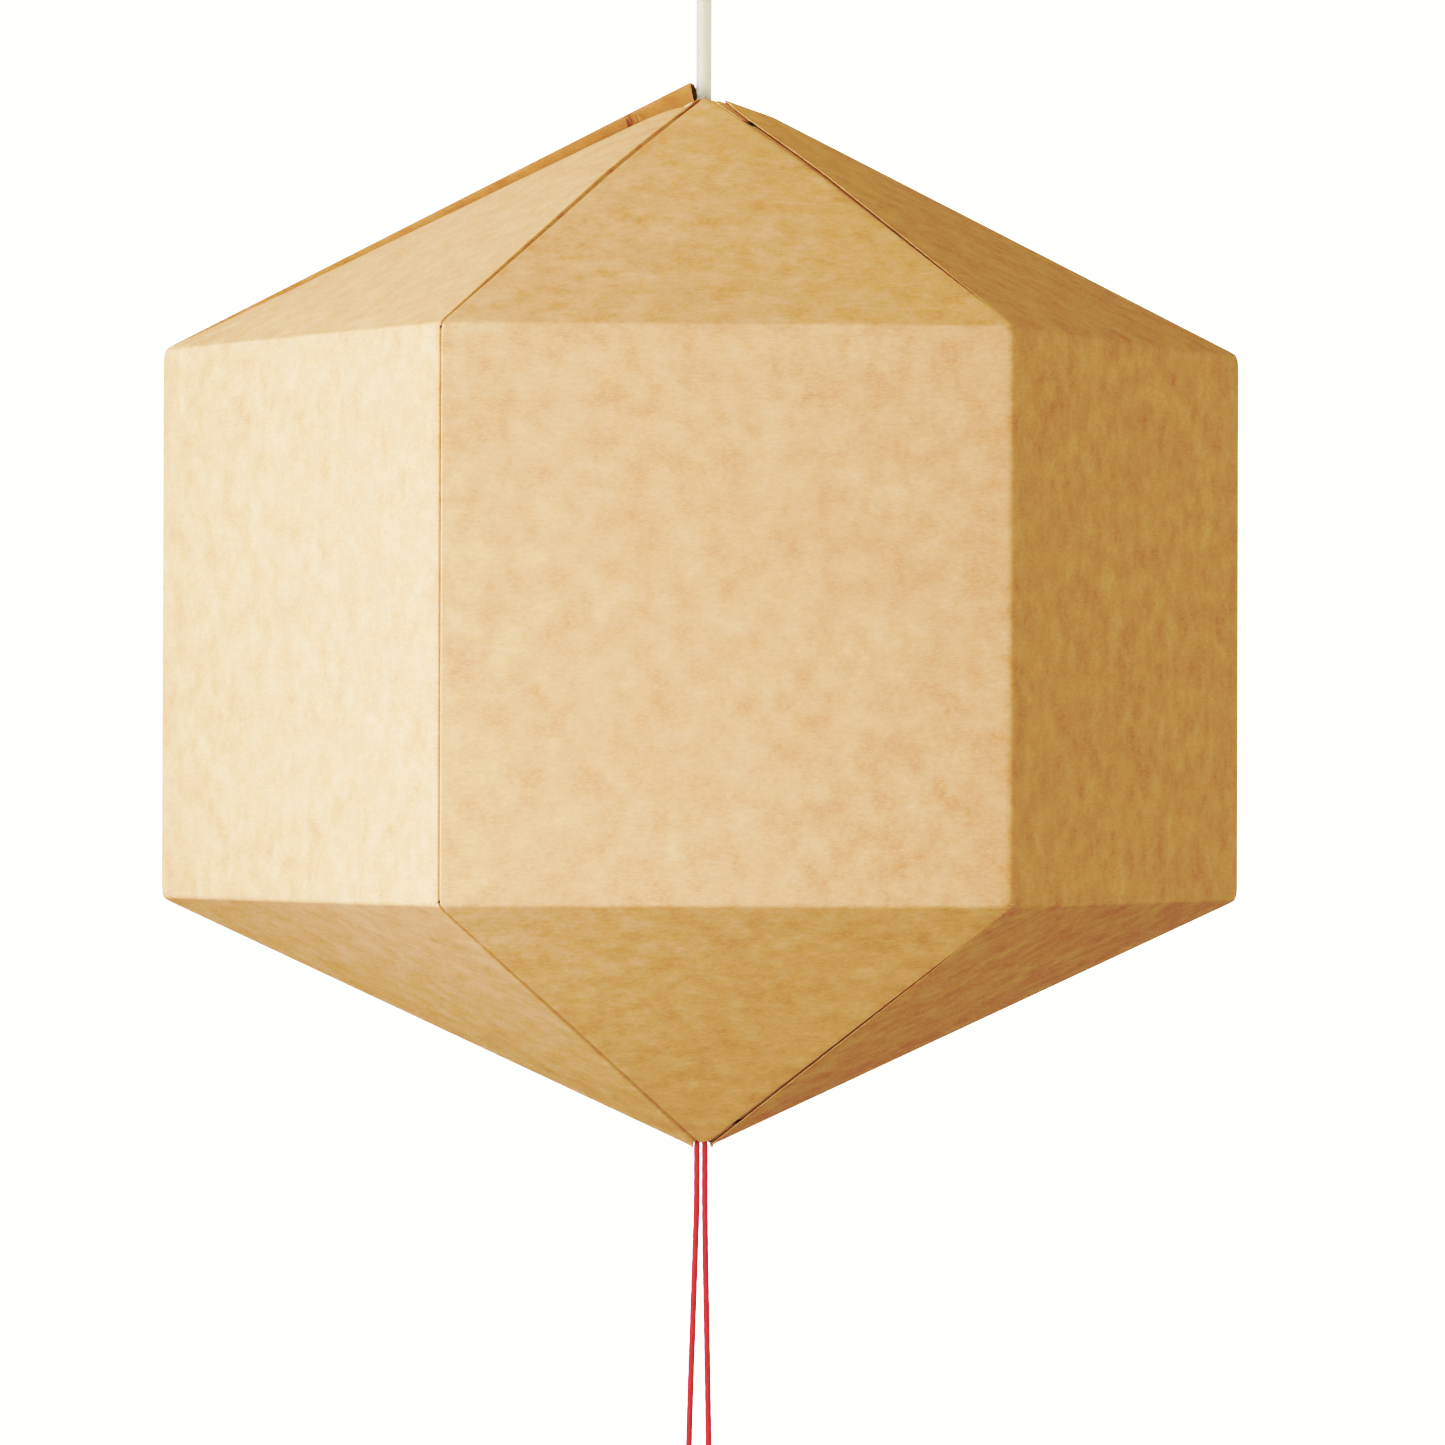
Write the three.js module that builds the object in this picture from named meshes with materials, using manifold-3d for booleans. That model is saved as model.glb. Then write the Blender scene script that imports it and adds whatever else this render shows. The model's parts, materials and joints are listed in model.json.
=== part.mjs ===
// A hexagonal pendant lantern folded from kraft card, hung on its mains cable from a ceiling rose.
// Units are millimetres and +Z is up. The origin is the middle of the rose's top face, on the ceiling.
// The front panel faces -Y. Panels are counted from the front one towards +X.
import * as THREE from "three";
import { mergeVertices } from "three/addons/utils/BufferGeometryUtils.js";
import Module from "manifold-3d";

const wasm = await Module();
wasm.setup();

// ---- Driving dimensions ----
const PANELS = ["front", "front_right", "back_right", "back", "back_left", "front_left"];
const SIDE = 215; // width of a wall panel, which is also the circumradius
const WALL_HEIGHT = 217;
const TOP_RISE = 108; // height of the upper pyramid to its ideal apex
const BOTTOM_DROP = 100; // depth of the lower pyramid to its ideal apex
const APEX_Z = -98; // ideal apex of the upper pyramid
const CARD = 0.6; // thickness of the card
const GAP = 0.3; // clearance between pieces that touch
const TAB_WIDTH = 13; // tab folded under the next panel
const TAB_TAPER = 0.085; // a flap tab's width at most, as a share of its distance from the corner
const EDGE_SETBACK = 0.8; // a cut edge keeps this far from the corner line
const CREASE_SETBACK = 0.55; // a flap and its wall each stop this far from their crease
// How far each flap's tip stops short of the axis, in the order of PANELS.
const TOP_OPENINGS = [6, 11.5, 9.5, 8.5, 5, 6.5];
const BOTTOM_OPENINGS = [5.5, 3.4, 5.5, 5.5, 3.4, 5.5];
const SLOTTED = [0, 2, 4]; // flaps whose tab has a half-round locking slot
const SLOT_RADIUS = 2.8;
const SLOT_INTO = 2.4; // the slot's straight side lies this far from the fold
const TOP_SLOT_FROM_APEX = 32; // along the seam
const BOTTOM_SLOT_FROM_APEX = 25;
const TAB_START = 24; // along the seam from the corner
const TAB_PAST_SLOT = 7.8; // and it ends this far past the middle of the slot
const TAB_ROOT = 1.2; // a tab reaches this far back across its fold into its own leaf

const CABLE_RADIUS = 3.1;
const CORD_RADIUS = 1.1;
const ROSE_RADIUS = 48;
const PIVOT_Z = -36; // where the cable bends below the rose

// ---- Derived sizes ----
const APOTHEM = SIDE * Math.cos(Math.PI / 6);
const WALL_TOP_Z = APEX_Z - TOP_RISE;
const WALL_BOTTOM_Z = WALL_TOP_Z - WALL_HEIGHT;
const TIP_Z = WALL_BOTTOM_Z - BOTTOM_DROP; // ideal apex of the lower pyramid
const TAB_DEPTH = CARD + GAP; // a tab's outer face lies this far below its neighbour's

// ---- Materials ----
const kraft = { color: 0xc99c60, roughness: 0.9, metalness: 0 };
const whitePlastic = { color: 0xe9e6da, roughness: 0.45, metalness: 0 };
const whiteFlex = { color: 0xe6e2d2, roughness: 0.5, metalness: 0 };
const greyPlastic = { color: 0xc9c7c0, roughness: 0.5, metalness: 0 };
const porcelain = { color: 0xf2efe8, roughness: 0.25, metalness: 0 };
const brass = { color: 0xc9a24a, roughness: 0.35, metalness: 1 };
const steel = { color: 0xc4c6c8, roughness: 0.35, metalness: 1 };
const aluminium = { color: 0xd0d2d4, roughness: 0.35, metalness: 1 };
const opal = { color: 0xf7f6f0, roughness: 0.4, metalness: 0 };
const blackGlass = { color: 0x15151a, roughness: 0.2, metalness: 0 };
const boardGreen = { color: 0xdfe3df, roughness: 0.5, metalness: 0 };
const redCord = { color: 0xc9272d, roughness: 0.8, metalness: 0 };
const brownCore = { color: 0x6b3a1e, roughness: 0.5, metalness: 0 };
const blueCore = { color: 0x1f5fae, roughness: 0.5, metalness: 0 };

// ---- Helpers ----
const lantern = new THREE.Group();

function add(name, geometry, look, turn = 0) {
  const mesh = new THREE.Mesh(geometry, new THREE.MeshStandardMaterial(look));
  mesh.name = name;
  mesh.rotation.z = turn;
  lantern.add(mesh);
  return mesh;
}

function solidOf(geometry) {
  const bare = geometry.clone();
  bare.deleteAttribute("normal");
  bare.deleteAttribute("uv");
  const merged = mergeVertices(bare, 1e-4);
  return new wasm.Manifold(
    new wasm.Mesh({
      numProp: 3,
      vertProperties: merged.attributes.position.array,
      triVerts: new Uint32Array(merged.index.array),
    }),
  );
}

function geometryOf(solid) {
  const mesh = solid.getMesh();
  const geometry = new THREE.BufferGeometry();
  geometry.setAttribute("position", new THREE.BufferAttribute(mesh.vertProperties, 3));
  geometry.setIndex(new THREE.BufferAttribute(mesh.triVerts, 1));
  return geometry;
}

function join(...geometries) {
  return geometryOf(geometries.map(solidOf).reduce((a, b) => a.add(b)));
}

function cut(body, ...tools) {
  return geometryOf(tools.map(solidOf).reduce((a, b) => a.subtract(b), solidOf(body)));
}

function shapeOf(points) {
  return new THREE.Shape(points.map(([x, y]) => new THREE.Vector2(x, y)));
}

// A flat outline extruded along +Z from one height to another.
function plate(shape, low, high, curveSegments = 12) {
  const geometry = new THREE.ExtrudeGeometry(shape, {
    depth: high - low,
    bevelEnabled: false,
    curveSegments,
  });
  return geometry.translate(0, 0, low);
}

// A turned piece about Z, from a closed [radius, height] profile.
function turned(profile, sides = 24) {
  const points = profile.map(([r, z]) => new THREE.Vector2(r, z));
  const open = points[0].x > 0 || points[points.length - 1].x > 0;
  if (open) points.push(points[0].clone());
  return new THREE.LatheGeometry(points, sides).rotateX(Math.PI / 2);
}

function rod(radius, length, sides = 16) {
  return new THREE.CylinderGeometry(radius, radius, length, sides).rotateX(Math.PI / 2);
}

function roundSection(radius, sides) {
  const corners = [];
  for (let i = 0; i < sides; i++) {
    const angle = (2 * Math.PI * i) / sides;
    corners.push([radius * Math.cos(angle), radius * Math.sin(angle)]);
  }
  return shapeOf(corners);
}

// A tube along a smooth curve through a list of [x, y, z] points.
function tube(route, radius, sides, steps) {
  const curve = new THREE.CatmullRomCurve3(route.map((p) => new THREE.Vector3(...p)));
  return new THREE.ExtrudeGeometry(roundSection(radius, sides), {
    extrudePath: curve,
    steps,
    bevelEnabled: false,
  });
}

// ---- The card walls: two bent sheets of three panels, each with one glue tab ----
// The corner where wall k, moved inwards by depthK, meets wall k + 1 moved inwards by depthNext.
function cornerPoint(k, depthK, depthNext) {
  const a = THREE.MathUtils.degToRad(-90 + 60 * k);
  const b = a + Math.PI / 3;
  const da = APOTHEM - depthK;
  const db = APOTHEM - depthNext;
  const s = Math.sin(b - a);
  return [
    (da * Math.sin(b) - db * Math.sin(a)) / s,
    (db * Math.cos(a) - da * Math.cos(b)) / s,
  ];
}

// A point on wall k at this depth, this far from the wall's left-hand corner as seen from outside.
function wallPoint(k, depth, along) {
  const a = THREE.MathUtils.degToRad(-90 + 60 * k);
  const out = APOTHEM - depth;
  const side = along - SIDE / 2;
  return [out * Math.cos(a) - side * Math.sin(a), out * Math.sin(a) + side * Math.cos(a)];
}

function halfShell() {
  const tabInner = TAB_DEPTH + CARD;
  const outline = [
    wallPoint(0, 0, EDGE_SETBACK),
    cornerPoint(0, 0, 0),
    cornerPoint(1, 0, 0),
    cornerPoint(2, 0, 0),
    cornerPoint(2, TAB_DEPTH, TAB_DEPTH),
    wallPoint(3, TAB_DEPTH, TAB_WIDTH),
    wallPoint(3, tabInner, TAB_WIDTH),
    cornerPoint(2, CARD, tabInner),
    cornerPoint(1, CARD, CARD),
    cornerPoint(0, CARD, CARD),
    wallPoint(0, CARD, EDGE_SETBACK),
  ];
  return plate(shapeOf(outline), WALL_BOTTOM_Z + CREASE_SETBACK, WALL_TOP_Z - CREASE_SETBACK);
}

add("shell_front", halfShell(), kraft);
add("shell_back", halfShell(), kraft, Math.PI);

// ---- The card flaps: six above and six below, each hinged on its crease ----
// A flap is drawn flat: x runs along its crease, y up to its tip, and z = 0 is its outer face.
// It is then stood on the front wall's edge; the tab is drawn the same way on the neighbouring face.
function flapFrame(k, up) {
  const rise = up ? TOP_RISE : -BOTTOM_DROP;
  const a = THREE.MathUtils.degToRad(-90 + 60 * k);
  const length = Math.hypot(APOTHEM, rise);
  const u = new THREE.Vector3(-Math.sin(a), Math.cos(a), 0);
  const v = new THREE.Vector3(-Math.cos(a) * APOTHEM, -Math.sin(a) * APOTHEM, rise);
  v.divideScalar(length);
  const w = new THREE.Vector3().crossVectors(u, v);
  const frame = new THREE.Matrix4().makeBasis(u, v, w);
  const crease = up ? WALL_TOP_Z : WALL_BOTTOM_Z;
  frame.setPosition(APOTHEM * Math.cos(a), APOTHEM * Math.sin(a), crease);
  return frame;
}

function flap(k, up) {
  const rise = up ? TOP_RISE : BOTTOM_DROP;
  const opening = up ? TOP_OPENINGS[k] : BOTTOM_OPENINGS[k];
  const slotFromApex = up ? TOP_SLOT_FROM_APEX : BOTTOM_SLOT_FROM_APEX;
  const length = Math.hypot(APOTHEM, rise);
  const seam = Math.hypot(SIDE, rise);
  const tipY = length * (1 - opening / APOTHEM);
  const inwards = up ? -1 : 1; // which way along z the inside of the lantern lies
  const face = flapFrame(k, up);
  const nextFace = flapFrame(k + 1, up);

  // A point measured along a face's left-hand seam from its lower corner, and square to it into the face.
  const alongX = SIDE / 2 / seam;
  const alongY = length / seam;
  const onSeam = (along, into) => [
    -SIDE / 2 + along * alongX + into * alongY,
    along * alongY - into * alongX,
  ];
  const layer = (shape, depth, thickness) => {
    const near = inwards * depth;
    const far = inwards * (depth + thickness);
    return plate(shape, Math.min(near, far), Math.max(near, far));
  };

  // The leaf, with its left edge set back from the seam.
  const lower = EDGE_SETBACK / alongY + (CREASE_SETBACK * alongX) / alongY;
  const leftTipX = -SIDE / 2 + (tipY * alongX) / alongY + EDGE_SETBACK / alongY;
  const rightX = (y) => SIDE / 2 - (y * alongX) / alongY;
  const leaf = shapeOf([
    [-SIDE / 2 + lower, CREASE_SETBACK],
    [rightX(CREASE_SETBACK), CREASE_SETBACK],
    [rightX(tipY), tipY],
    [leftTipX, tipY],
  ]);
  let solid = layer(leaf, 0, CARD).applyMatrix4(face);

  // The tab, folded along the right-hand seam to lie under the next face. It narrows towards the
  // crease, because a wide tab there would catch on the next flap as the two open together.
  const tabEnd = seam - slotFromApex + TAB_PAST_SLOT;
  const tab = shapeOf([
    onSeam(TAB_START, -TAB_ROOT),
    onSeam(TAB_START, TAB_TAPER * TAB_START),
    onSeam(TAB_WIDTH / TAB_TAPER, TAB_WIDTH),
    onSeam(tabEnd - TAB_WIDTH, TAB_WIDTH),
    onSeam(tabEnd, -TAB_ROOT),
  ]);
  let tabSolid = layer(tab, TAB_DEPTH, CARD);
  if (SLOTTED.includes(k)) {
    const [x, y] = onSeam(seam - slotFromApex, SLOT_INTO);
    const uphill = Math.atan2(alongY, alongX); // the seam's direction
    const slot = new THREE.Shape();
    slot.absarc(x, y, SLOT_RADIUS, uphill - Math.PI, uphill, false);
    slot.closePath();
    tabSolid = cut(tabSolid, layer(slot, -CARD, 6 * CARD));
  }
  solid = join(solid, tabSolid.applyMatrix4(nextFace));
  return solid;
}

PANELS.forEach((panel, k) => {
  add("top_flap_" + panel, flap(k, true), kraft);
  add("bottom_flap_" + panel, flap(k, false), kraft);
});

// ---- Ceiling rose ----
const BASE_RADIUS = 42;
const BASE_THICKNESS = 3;
const COVER_WALL = 1.8;
const COVER_RIM_Z = -0.5;
const COVER_FLOOR_Z = -28;
const COVER_HOLE_RADIUS = 5;
const SCREW_SLOT = 30; // a fixing slot's distance from the middle
const SCREW_SLOT_RADIUS = 2.4;
const SCREW_SLOT_REACH = 4; // a slot's straight part runs this far each way
const FEED_Y = 26; // middle of the hole for the supply cable
const FEED_RADIUS = 7;
const LIP_WALL = 2;
const LIP_BOTTOM_Z = -14;
const SIDE_SCREW_Z = -8;
const SIDE_HOLE_RADIUS = 1.9;

function roseBase() {
  const disc = new THREE.Shape();
  disc.absarc(0, 0, BASE_RADIUS, 0, 2 * Math.PI, false);
  for (const side of [-1, 1]) {
    const slot = new THREE.Path();
    slot.absarc(side * SCREW_SLOT, SCREW_SLOT_REACH, SCREW_SLOT_RADIUS, 0, Math.PI, false);
    slot.absarc(side * SCREW_SLOT, -SCREW_SLOT_REACH, SCREW_SLOT_RADIUS, Math.PI, 2 * Math.PI, false);
    disc.holes.push(slot);
  }
  const feed = new THREE.Path();
  feed.absarc(0, FEED_Y, FEED_RADIUS, 0, 2 * Math.PI, false);
  disc.holes.push(feed);
  const lip = turned([
    [BASE_RADIUS - LIP_WALL, LIP_BOTTOM_Z],
    [BASE_RADIUS, LIP_BOTTOM_Z],
    [BASE_RADIUS, -1],
    [BASE_RADIUS - LIP_WALL, -1],
  ]);
  const holes = [-1, 1].map((side) =>
    rod(SIDE_HOLE_RADIUS, 6, 12).rotateY(Math.PI / 2).translate(side * BASE_RADIUS, 0, SIDE_SCREW_Z),
  );
  return cut(join(plate(disc, -BASE_THICKNESS, 0, 6), lip), ...holes);
}

function roseCover() {
  const shell = turned([
    [COVER_HOLE_RADIUS, COVER_FLOOR_Z],
    [20, COVER_FLOOR_Z],
    [33, COVER_FLOOR_Z + 2],
    [42, COVER_FLOOR_Z + 8],
    [46.5, COVER_FLOOR_Z + 16],
    [ROSE_RADIUS, COVER_RIM_Z],
    [ROSE_RADIUS - COVER_WALL, COVER_RIM_Z],
    [46.5 - COVER_WALL, COVER_FLOOR_Z + 16],
    [42 - COVER_WALL, COVER_FLOOR_Z + 9.2],
    [33 - COVER_WALL / 2, COVER_FLOOR_Z + 3.8],
    [20, COVER_FLOOR_Z + COVER_WALL],
    [COVER_HOLE_RADIUS, COVER_FLOOR_Z + COVER_WALL],
  ]);
  const holes = [-1, 1].map((side) =>
    rod(SIDE_HOLE_RADIUS, 8, 12).rotateY(Math.PI / 2).translate(side * ROSE_RADIUS, 0, SIDE_SCREW_Z),
  );
  return cut(shell, ...holes);
}

// A headed screw along +X, with its head's outer face at x = 0 and a slot across the head.
function sideScrew(headRadius, shankRadius, length) {
  const head = rod(headRadius, 1.6, 16).rotateY(Math.PI / 2).translate(-0.8, 0, 0);
  const shank = rod(shankRadius, length, 10).rotateY(Math.PI / 2).translate(-1.4 - length / 2, 0, 0);
  const slot = new THREE.BoxGeometry(1.2, 0.8, 2 * headRadius + 1);
  return cut(join(head, shank), slot);
}

add("rose_base_plate", roseBase(), whitePlastic);
add("rose_cover", roseCover(), whitePlastic);
["right", "left"].forEach((side, i) => {
  const screw = sideScrew(3, 1.5, 7).translate(ROSE_RADIUS + 1.3, 0, SIDE_SCREW_Z);
  add("rose_cover_screw_" + side, screw, steel, i * Math.PI);
});

// Terminal block under the base plate: two poles, each with its clamping screw driven up from below.
const BLOCK_TOP_Z = -BASE_THICKNESS - GAP;
const BLOCK_DEPTH = 10;
const POLE_X = 6;
const POLE_HOLE_RADIUS = 2.4;
const block = new THREE.BoxGeometry(26, 14, BLOCK_DEPTH).translate(0, 0, BLOCK_TOP_Z - BLOCK_DEPTH / 2);
const poleHoles = [-1, 1].map((side) => {
  return rod(POLE_HOLE_RADIUS, 14, 12).translate(side * POLE_X, 0, BLOCK_TOP_Z - BLOCK_DEPTH);
});
add("rose_terminal_block", cut(block, ...poleHoles), greyPlastic);
["live", "neutral"].forEach((pole, i) => {
  const x = i === 0 ? POLE_X : -POLE_X;
  add("rose_terminal_screw_" + pole, rod(2, 5, 12).translate(x, 0, BLOCK_TOP_Z - 6), brass);
});

// Cord grip under the cover: a tapered nut with a flared mouth, and its pinch screw.
const GRIP_TOP_Z = COVER_FLOOR_Z - GAP;
const GRIP_BOTTOM_Z = PIVOT_Z - 2;
const GRIP_SCREW_Z = -31.5;
const GRIP_SCREW_Y = -11.3; // outer face of its head
const GRIP_MOUTH_RADIUS = 5.2;
const gripNut = turned([
  [GRIP_MOUTH_RADIUS, GRIP_BOTTOM_Z],
  [7, GRIP_BOTTOM_Z],
  [9.5, GRIP_TOP_Z],
  [CABLE_RADIUS + GAP, GRIP_TOP_Z],
  [CABLE_RADIUS + GAP, PIVOT_Z + 2.4],
  [GRIP_MOUTH_RADIUS, PIVOT_Z + 1.6],
]);
const gripScrewHole = rod(1.8, 10, 12).rotateX(Math.PI / 2).translate(0, -9, GRIP_SCREW_Z);
add("rose_cord_grip", cut(gripNut, gripScrewHole), whitePlastic);
const gripScrew = sideScrew(2.4, 1.4, 5).rotateZ(-Math.PI / 2).translate(0, GRIP_SCREW_Y, GRIP_SCREW_Z);
add("rose_grip_screw", gripScrew, whitePlastic);

// The fixed end of the cable inside the rose, and its two cores up to the terminals.
const STUB_TOP_Z = -22;
const stub = rod(CABLE_RADIUS, STUB_TOP_Z - PIVOT_Z - 3, 12);
add("cable_end_in_rose", stub.translate(0, 0, (STUB_TOP_Z + PIVOT_Z + 3) / 2), whiteFlex);
[
  ["live", brownCore, 1],
  ["neutral", blueCore, -1],
].forEach(([pole, look, side]) => {
  const route = [
    [side * 1.5, 0, STUB_TOP_Z + GAP],
    [side * 2.5, 0, STUB_TOP_Z + 3],
    [side * 5.6, 0, BLOCK_TOP_Z - 13],
    [side * POLE_X, 0, BLOCK_TOP_Z - 8.9],
  ];
  add("rose_core_" + pole, tube(route, 1.1, 8, 8), look);
});

// ---- Where the cable bends: a rubber bush in the grip's mouth, and the tapered sleeve below it ----
const BUSH_BORE = 3.9;
const BUSH_RADIUS = 4.6;
const BUSH_HALF = 0.8;
const bush = turned(
  [
    [BUSH_BORE, PIVOT_Z - BUSH_HALF],
    [BUSH_RADIUS, PIVOT_Z - BUSH_HALF],
    [BUSH_RADIUS, PIVOT_Z + BUSH_HALF],
    [BUSH_BORE, PIVOT_Z + BUSH_HALF],
  ],
  16,
);
add("cable_bush", bush, whiteFlex);

const SLEEVE_TOP_Z = PIVOT_Z - 4.5;
const SLEEVE_BOTTOM_Z = SLEEVE_TOP_Z - 18;
const sleeve = turned(
  [
    [CABLE_RADIUS + GAP, SLEEVE_BOTTOM_Z],
    [4.1, SLEEVE_BOTTOM_Z],
    [5, SLEEVE_TOP_Z - 3],
    [4.6, SLEEVE_TOP_Z],
    [CABLE_RADIUS + GAP, SLEEVE_TOP_Z],
  ],
  16,
);
add("cable_sleeve", sleeve, whiteFlex);

// ---- Lampholder: its cap is a cone under the upper flaps, which sag towards it ----
const PITCH = TOP_RISE / APOTHEM; // slope of the upper flaps
const SAG = 4; // room for the flaps' tips to sag
const coneZ = (radius) => APEX_Z - PITCH * radius - CARD / Math.cos(Math.atan(PITCH)) - SAG;
const CAP_RADIUS = 23;
const CAP_BOTTOM_Z = APEX_Z - 40;
const CAP_WALL = 2;
const CABLE_BOTTOM_Z = coneZ(6) - 4;
const cap = turned([
  [CAP_RADIUS - CAP_WALL, CAP_BOTTOM_Z],
  [CAP_RADIUS, CAP_BOTTOM_Z],
  [CAP_RADIUS, coneZ(20) - 4],
  [20, coneZ(20)],
  [6, coneZ(6)],
  [CABLE_RADIUS + GAP, coneZ(6)],
  [CABLE_RADIUS + GAP, coneZ(6) - 5],
  [7, coneZ(6) - 5],
  [19, coneZ(20) - 2.4],
  [CAP_RADIUS - CAP_WALL, coneZ(20) - 5],
]);
add("lampholder_cap", cap, whitePlastic);

const CABLE_TOP_Z = PIVOT_Z + 0.6;
const CABLE_POINTS = 16;
const mainsRoute = [];
for (let i = 0; i < CABLE_POINTS; i++) {
  mainsRoute.push([0, 0, CABLE_TOP_Z + ((CABLE_BOTTOM_Z - CABLE_TOP_Z) * i) / (CABLE_POINTS - 1)]);
}
add("mains_cable", tube(mainsRoute, CABLE_RADIUS, 12, 6), whiteFlex);

const HOLDER_TOP_Z = CAP_BOTTOM_Z - GAP;
const HOLDER_BOTTOM_Z = APEX_Z - 76;
const SOCKET_RADIUS = 13.5; // inside of the threaded shell for the lamp's cap
const SOCKET_WALL = 0.8;
const HOLDER_BORE = SOCKET_RADIUS + SOCKET_WALL + GAP;
const HOLDER_RIM_RADIUS = CAP_RADIUS - 0.2;
const holderBody = turned([
  [HOLDER_BORE, HOLDER_BOTTOM_Z],
  [19, HOLDER_BOTTOM_Z],
  [19.6, HOLDER_TOP_Z - 5.7],
  [HOLDER_RIM_RADIUS, HOLDER_TOP_Z - 3.7],
  [HOLDER_RIM_RADIUS, HOLDER_TOP_Z],
  [HOLDER_BORE, HOLDER_TOP_Z],
]);
add("lampholder_body", holderBody, whitePlastic);

const INSERT_TOP_Z = APEX_Z - 28;
const INSERT_RADIUS = 18;
const insert = rod(INSERT_RADIUS, INSERT_TOP_Z - CAP_BOTTOM_Z, 24);
add("lampholder_insert", insert.translate(0, 0, (INSERT_TOP_Z + CAP_BOTTOM_Z) / 2), porcelain);

const threadShell = turned([
  [SOCKET_RADIUS, HOLDER_BOTTOM_Z + 1],
  [SOCKET_RADIUS + SOCKET_WALL, HOLDER_BOTTOM_Z + 1],
  [SOCKET_RADIUS + SOCKET_WALL, HOLDER_TOP_Z],
  [SOCKET_RADIUS, HOLDER_TOP_Z],
]);
add("lampholder_screw_shell", threadShell, brass);
const CONTACT_THICKNESS = 1.6;
const CONTACT_Z = CAP_BOTTOM_Z - GAP - CONTACT_THICKNESS / 2;
add("lampholder_centre_contact", rod(4, CONTACT_THICKNESS, 16).translate(0, 0, CONTACT_Z), brass);

const POST_X = 11;
const POST_HEIGHT = 5;
["live", "neutral"].forEach((pole, i) => {
  const side = i === 0 ? 1 : -1;
  const post = new THREE.BoxGeometry(6, 6, POST_HEIGHT);
  post.translate(side * POST_X, 0, INSERT_TOP_Z + GAP + POST_HEIGHT / 2);
  add("lampholder_terminal_" + pole, post, brass);
  const route = [
    [side * 1.5, 0, CABLE_BOTTOM_Z - GAP],
    [side * 2, 0, CABLE_BOTTOM_Z - 4],
    [side * 5, 0, INSERT_TOP_Z + 4.2],
    [side * 7.6, 0, INSERT_TOP_Z + 3],
  ];
  add("lampholder_core_" + pole, tube(route, 1.1, 8, 8), i === 0 ? brownCore : blueCore);
});

// ---- Lamp: an opal LED bulb with a screw cap ----
const LAMP_TIP_Z = CONTACT_Z - CONTACT_THICKNESS / 2 - GAP;
const lampContact = [
  [0, LAMP_TIP_Z - CONTACT_THICKNESS],
  [4.5, LAMP_TIP_Z - CONTACT_THICKNESS],
  [3.4, LAMP_TIP_Z],
  [0, LAMP_TIP_Z],
];
add("bulb_tip_contact", turned(lampContact, 16), brass);
const INSULATOR_TOP_Z = LAMP_TIP_Z - CONTACT_THICKNESS - GAP;
const SHELL_TOP_Z = INSULATOR_TOP_Z - 3.5;
const insulator = [
  [0, SHELL_TOP_Z + GAP],
  [10, SHELL_TOP_Z + GAP],
  [4.8, INSULATOR_TOP_Z],
  [0, INSULATOR_TOP_Z],
];
add("bulb_insulator", turned(insulator, 24), blackGlass);
const COLLAR_TOP_Z = HOLDER_BOTTOM_Z + 1.7;
const LAMP_CAP_RADIUS = 13.1;
const lampCap = [
  [0, COLLAR_TOP_Z + GAP],
  [LAMP_CAP_RADIUS, COLLAR_TOP_Z + GAP],
  [LAMP_CAP_RADIUS, SHELL_TOP_Z - 3],
  [11, SHELL_TOP_Z],
  [0, SHELL_TOP_Z],
];
add("bulb_screw_cap", turned(lampCap), aluminium);
const COLLAR_BOTTOM_Z = COLLAR_TOP_Z - 30;
const collar = [
  [26, COLLAR_BOTTOM_Z],
  [28, COLLAR_BOTTOM_Z],
  [24, COLLAR_TOP_Z - 16],
  [17, COLLAR_TOP_Z - 6],
  [13.6, COLLAR_TOP_Z - 3],
  [13, COLLAR_TOP_Z],
  [0, COLLAR_TOP_Z],
  [0, COLLAR_TOP_Z - 4],
  [12, COLLAR_TOP_Z - 6],
  [22, COLLAR_TOP_Z - 17],
];
add("bulb_collar", turned(collar), whitePlastic);

// The globe is a thin open bowl: the rounded end of a sphere, with its rim under the collar.
const GLOBE_RADIUS = 30;
const GLOBE_WALL = 1.4;
const GLOBE_RIM_Z = COLLAR_BOTTOM_Z - GAP;
const RIM_RADIUS = 27.6;
function bowlArc(radius, steps) {
  const rimAngle = Math.acos(RIM_RADIUS / GLOBE_RADIUS);
  const centreZ = GLOBE_RIM_Z - GLOBE_RADIUS * Math.sin(rimAngle);
  const points = [];
  for (let i = 0; i <= steps; i++) {
    const angle = -Math.PI / 2 + ((rimAngle + Math.PI / 2) * i) / steps;
    points.push([Math.max(0, radius * Math.cos(angle)), centreZ + radius * Math.sin(angle)]);
  }
  points[0][0] = 0;
  return points;
}
const GLOBE_STEPS = 8;
const globeInside = bowlArc(GLOBE_RADIUS - GLOBE_WALL, GLOBE_STEPS).reverse();
add("bulb_globe", turned([...bowlArc(GLOBE_RADIUS, GLOBE_STEPS), ...globeInside]), opal);
const BOARD_RADIUS = 25.1;
add("bulb_led_board", rod(BOARD_RADIUS, 1.2, 24).translate(0, 0, COLLAR_BOTTOM_Z + 1), boardGreen);

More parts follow.
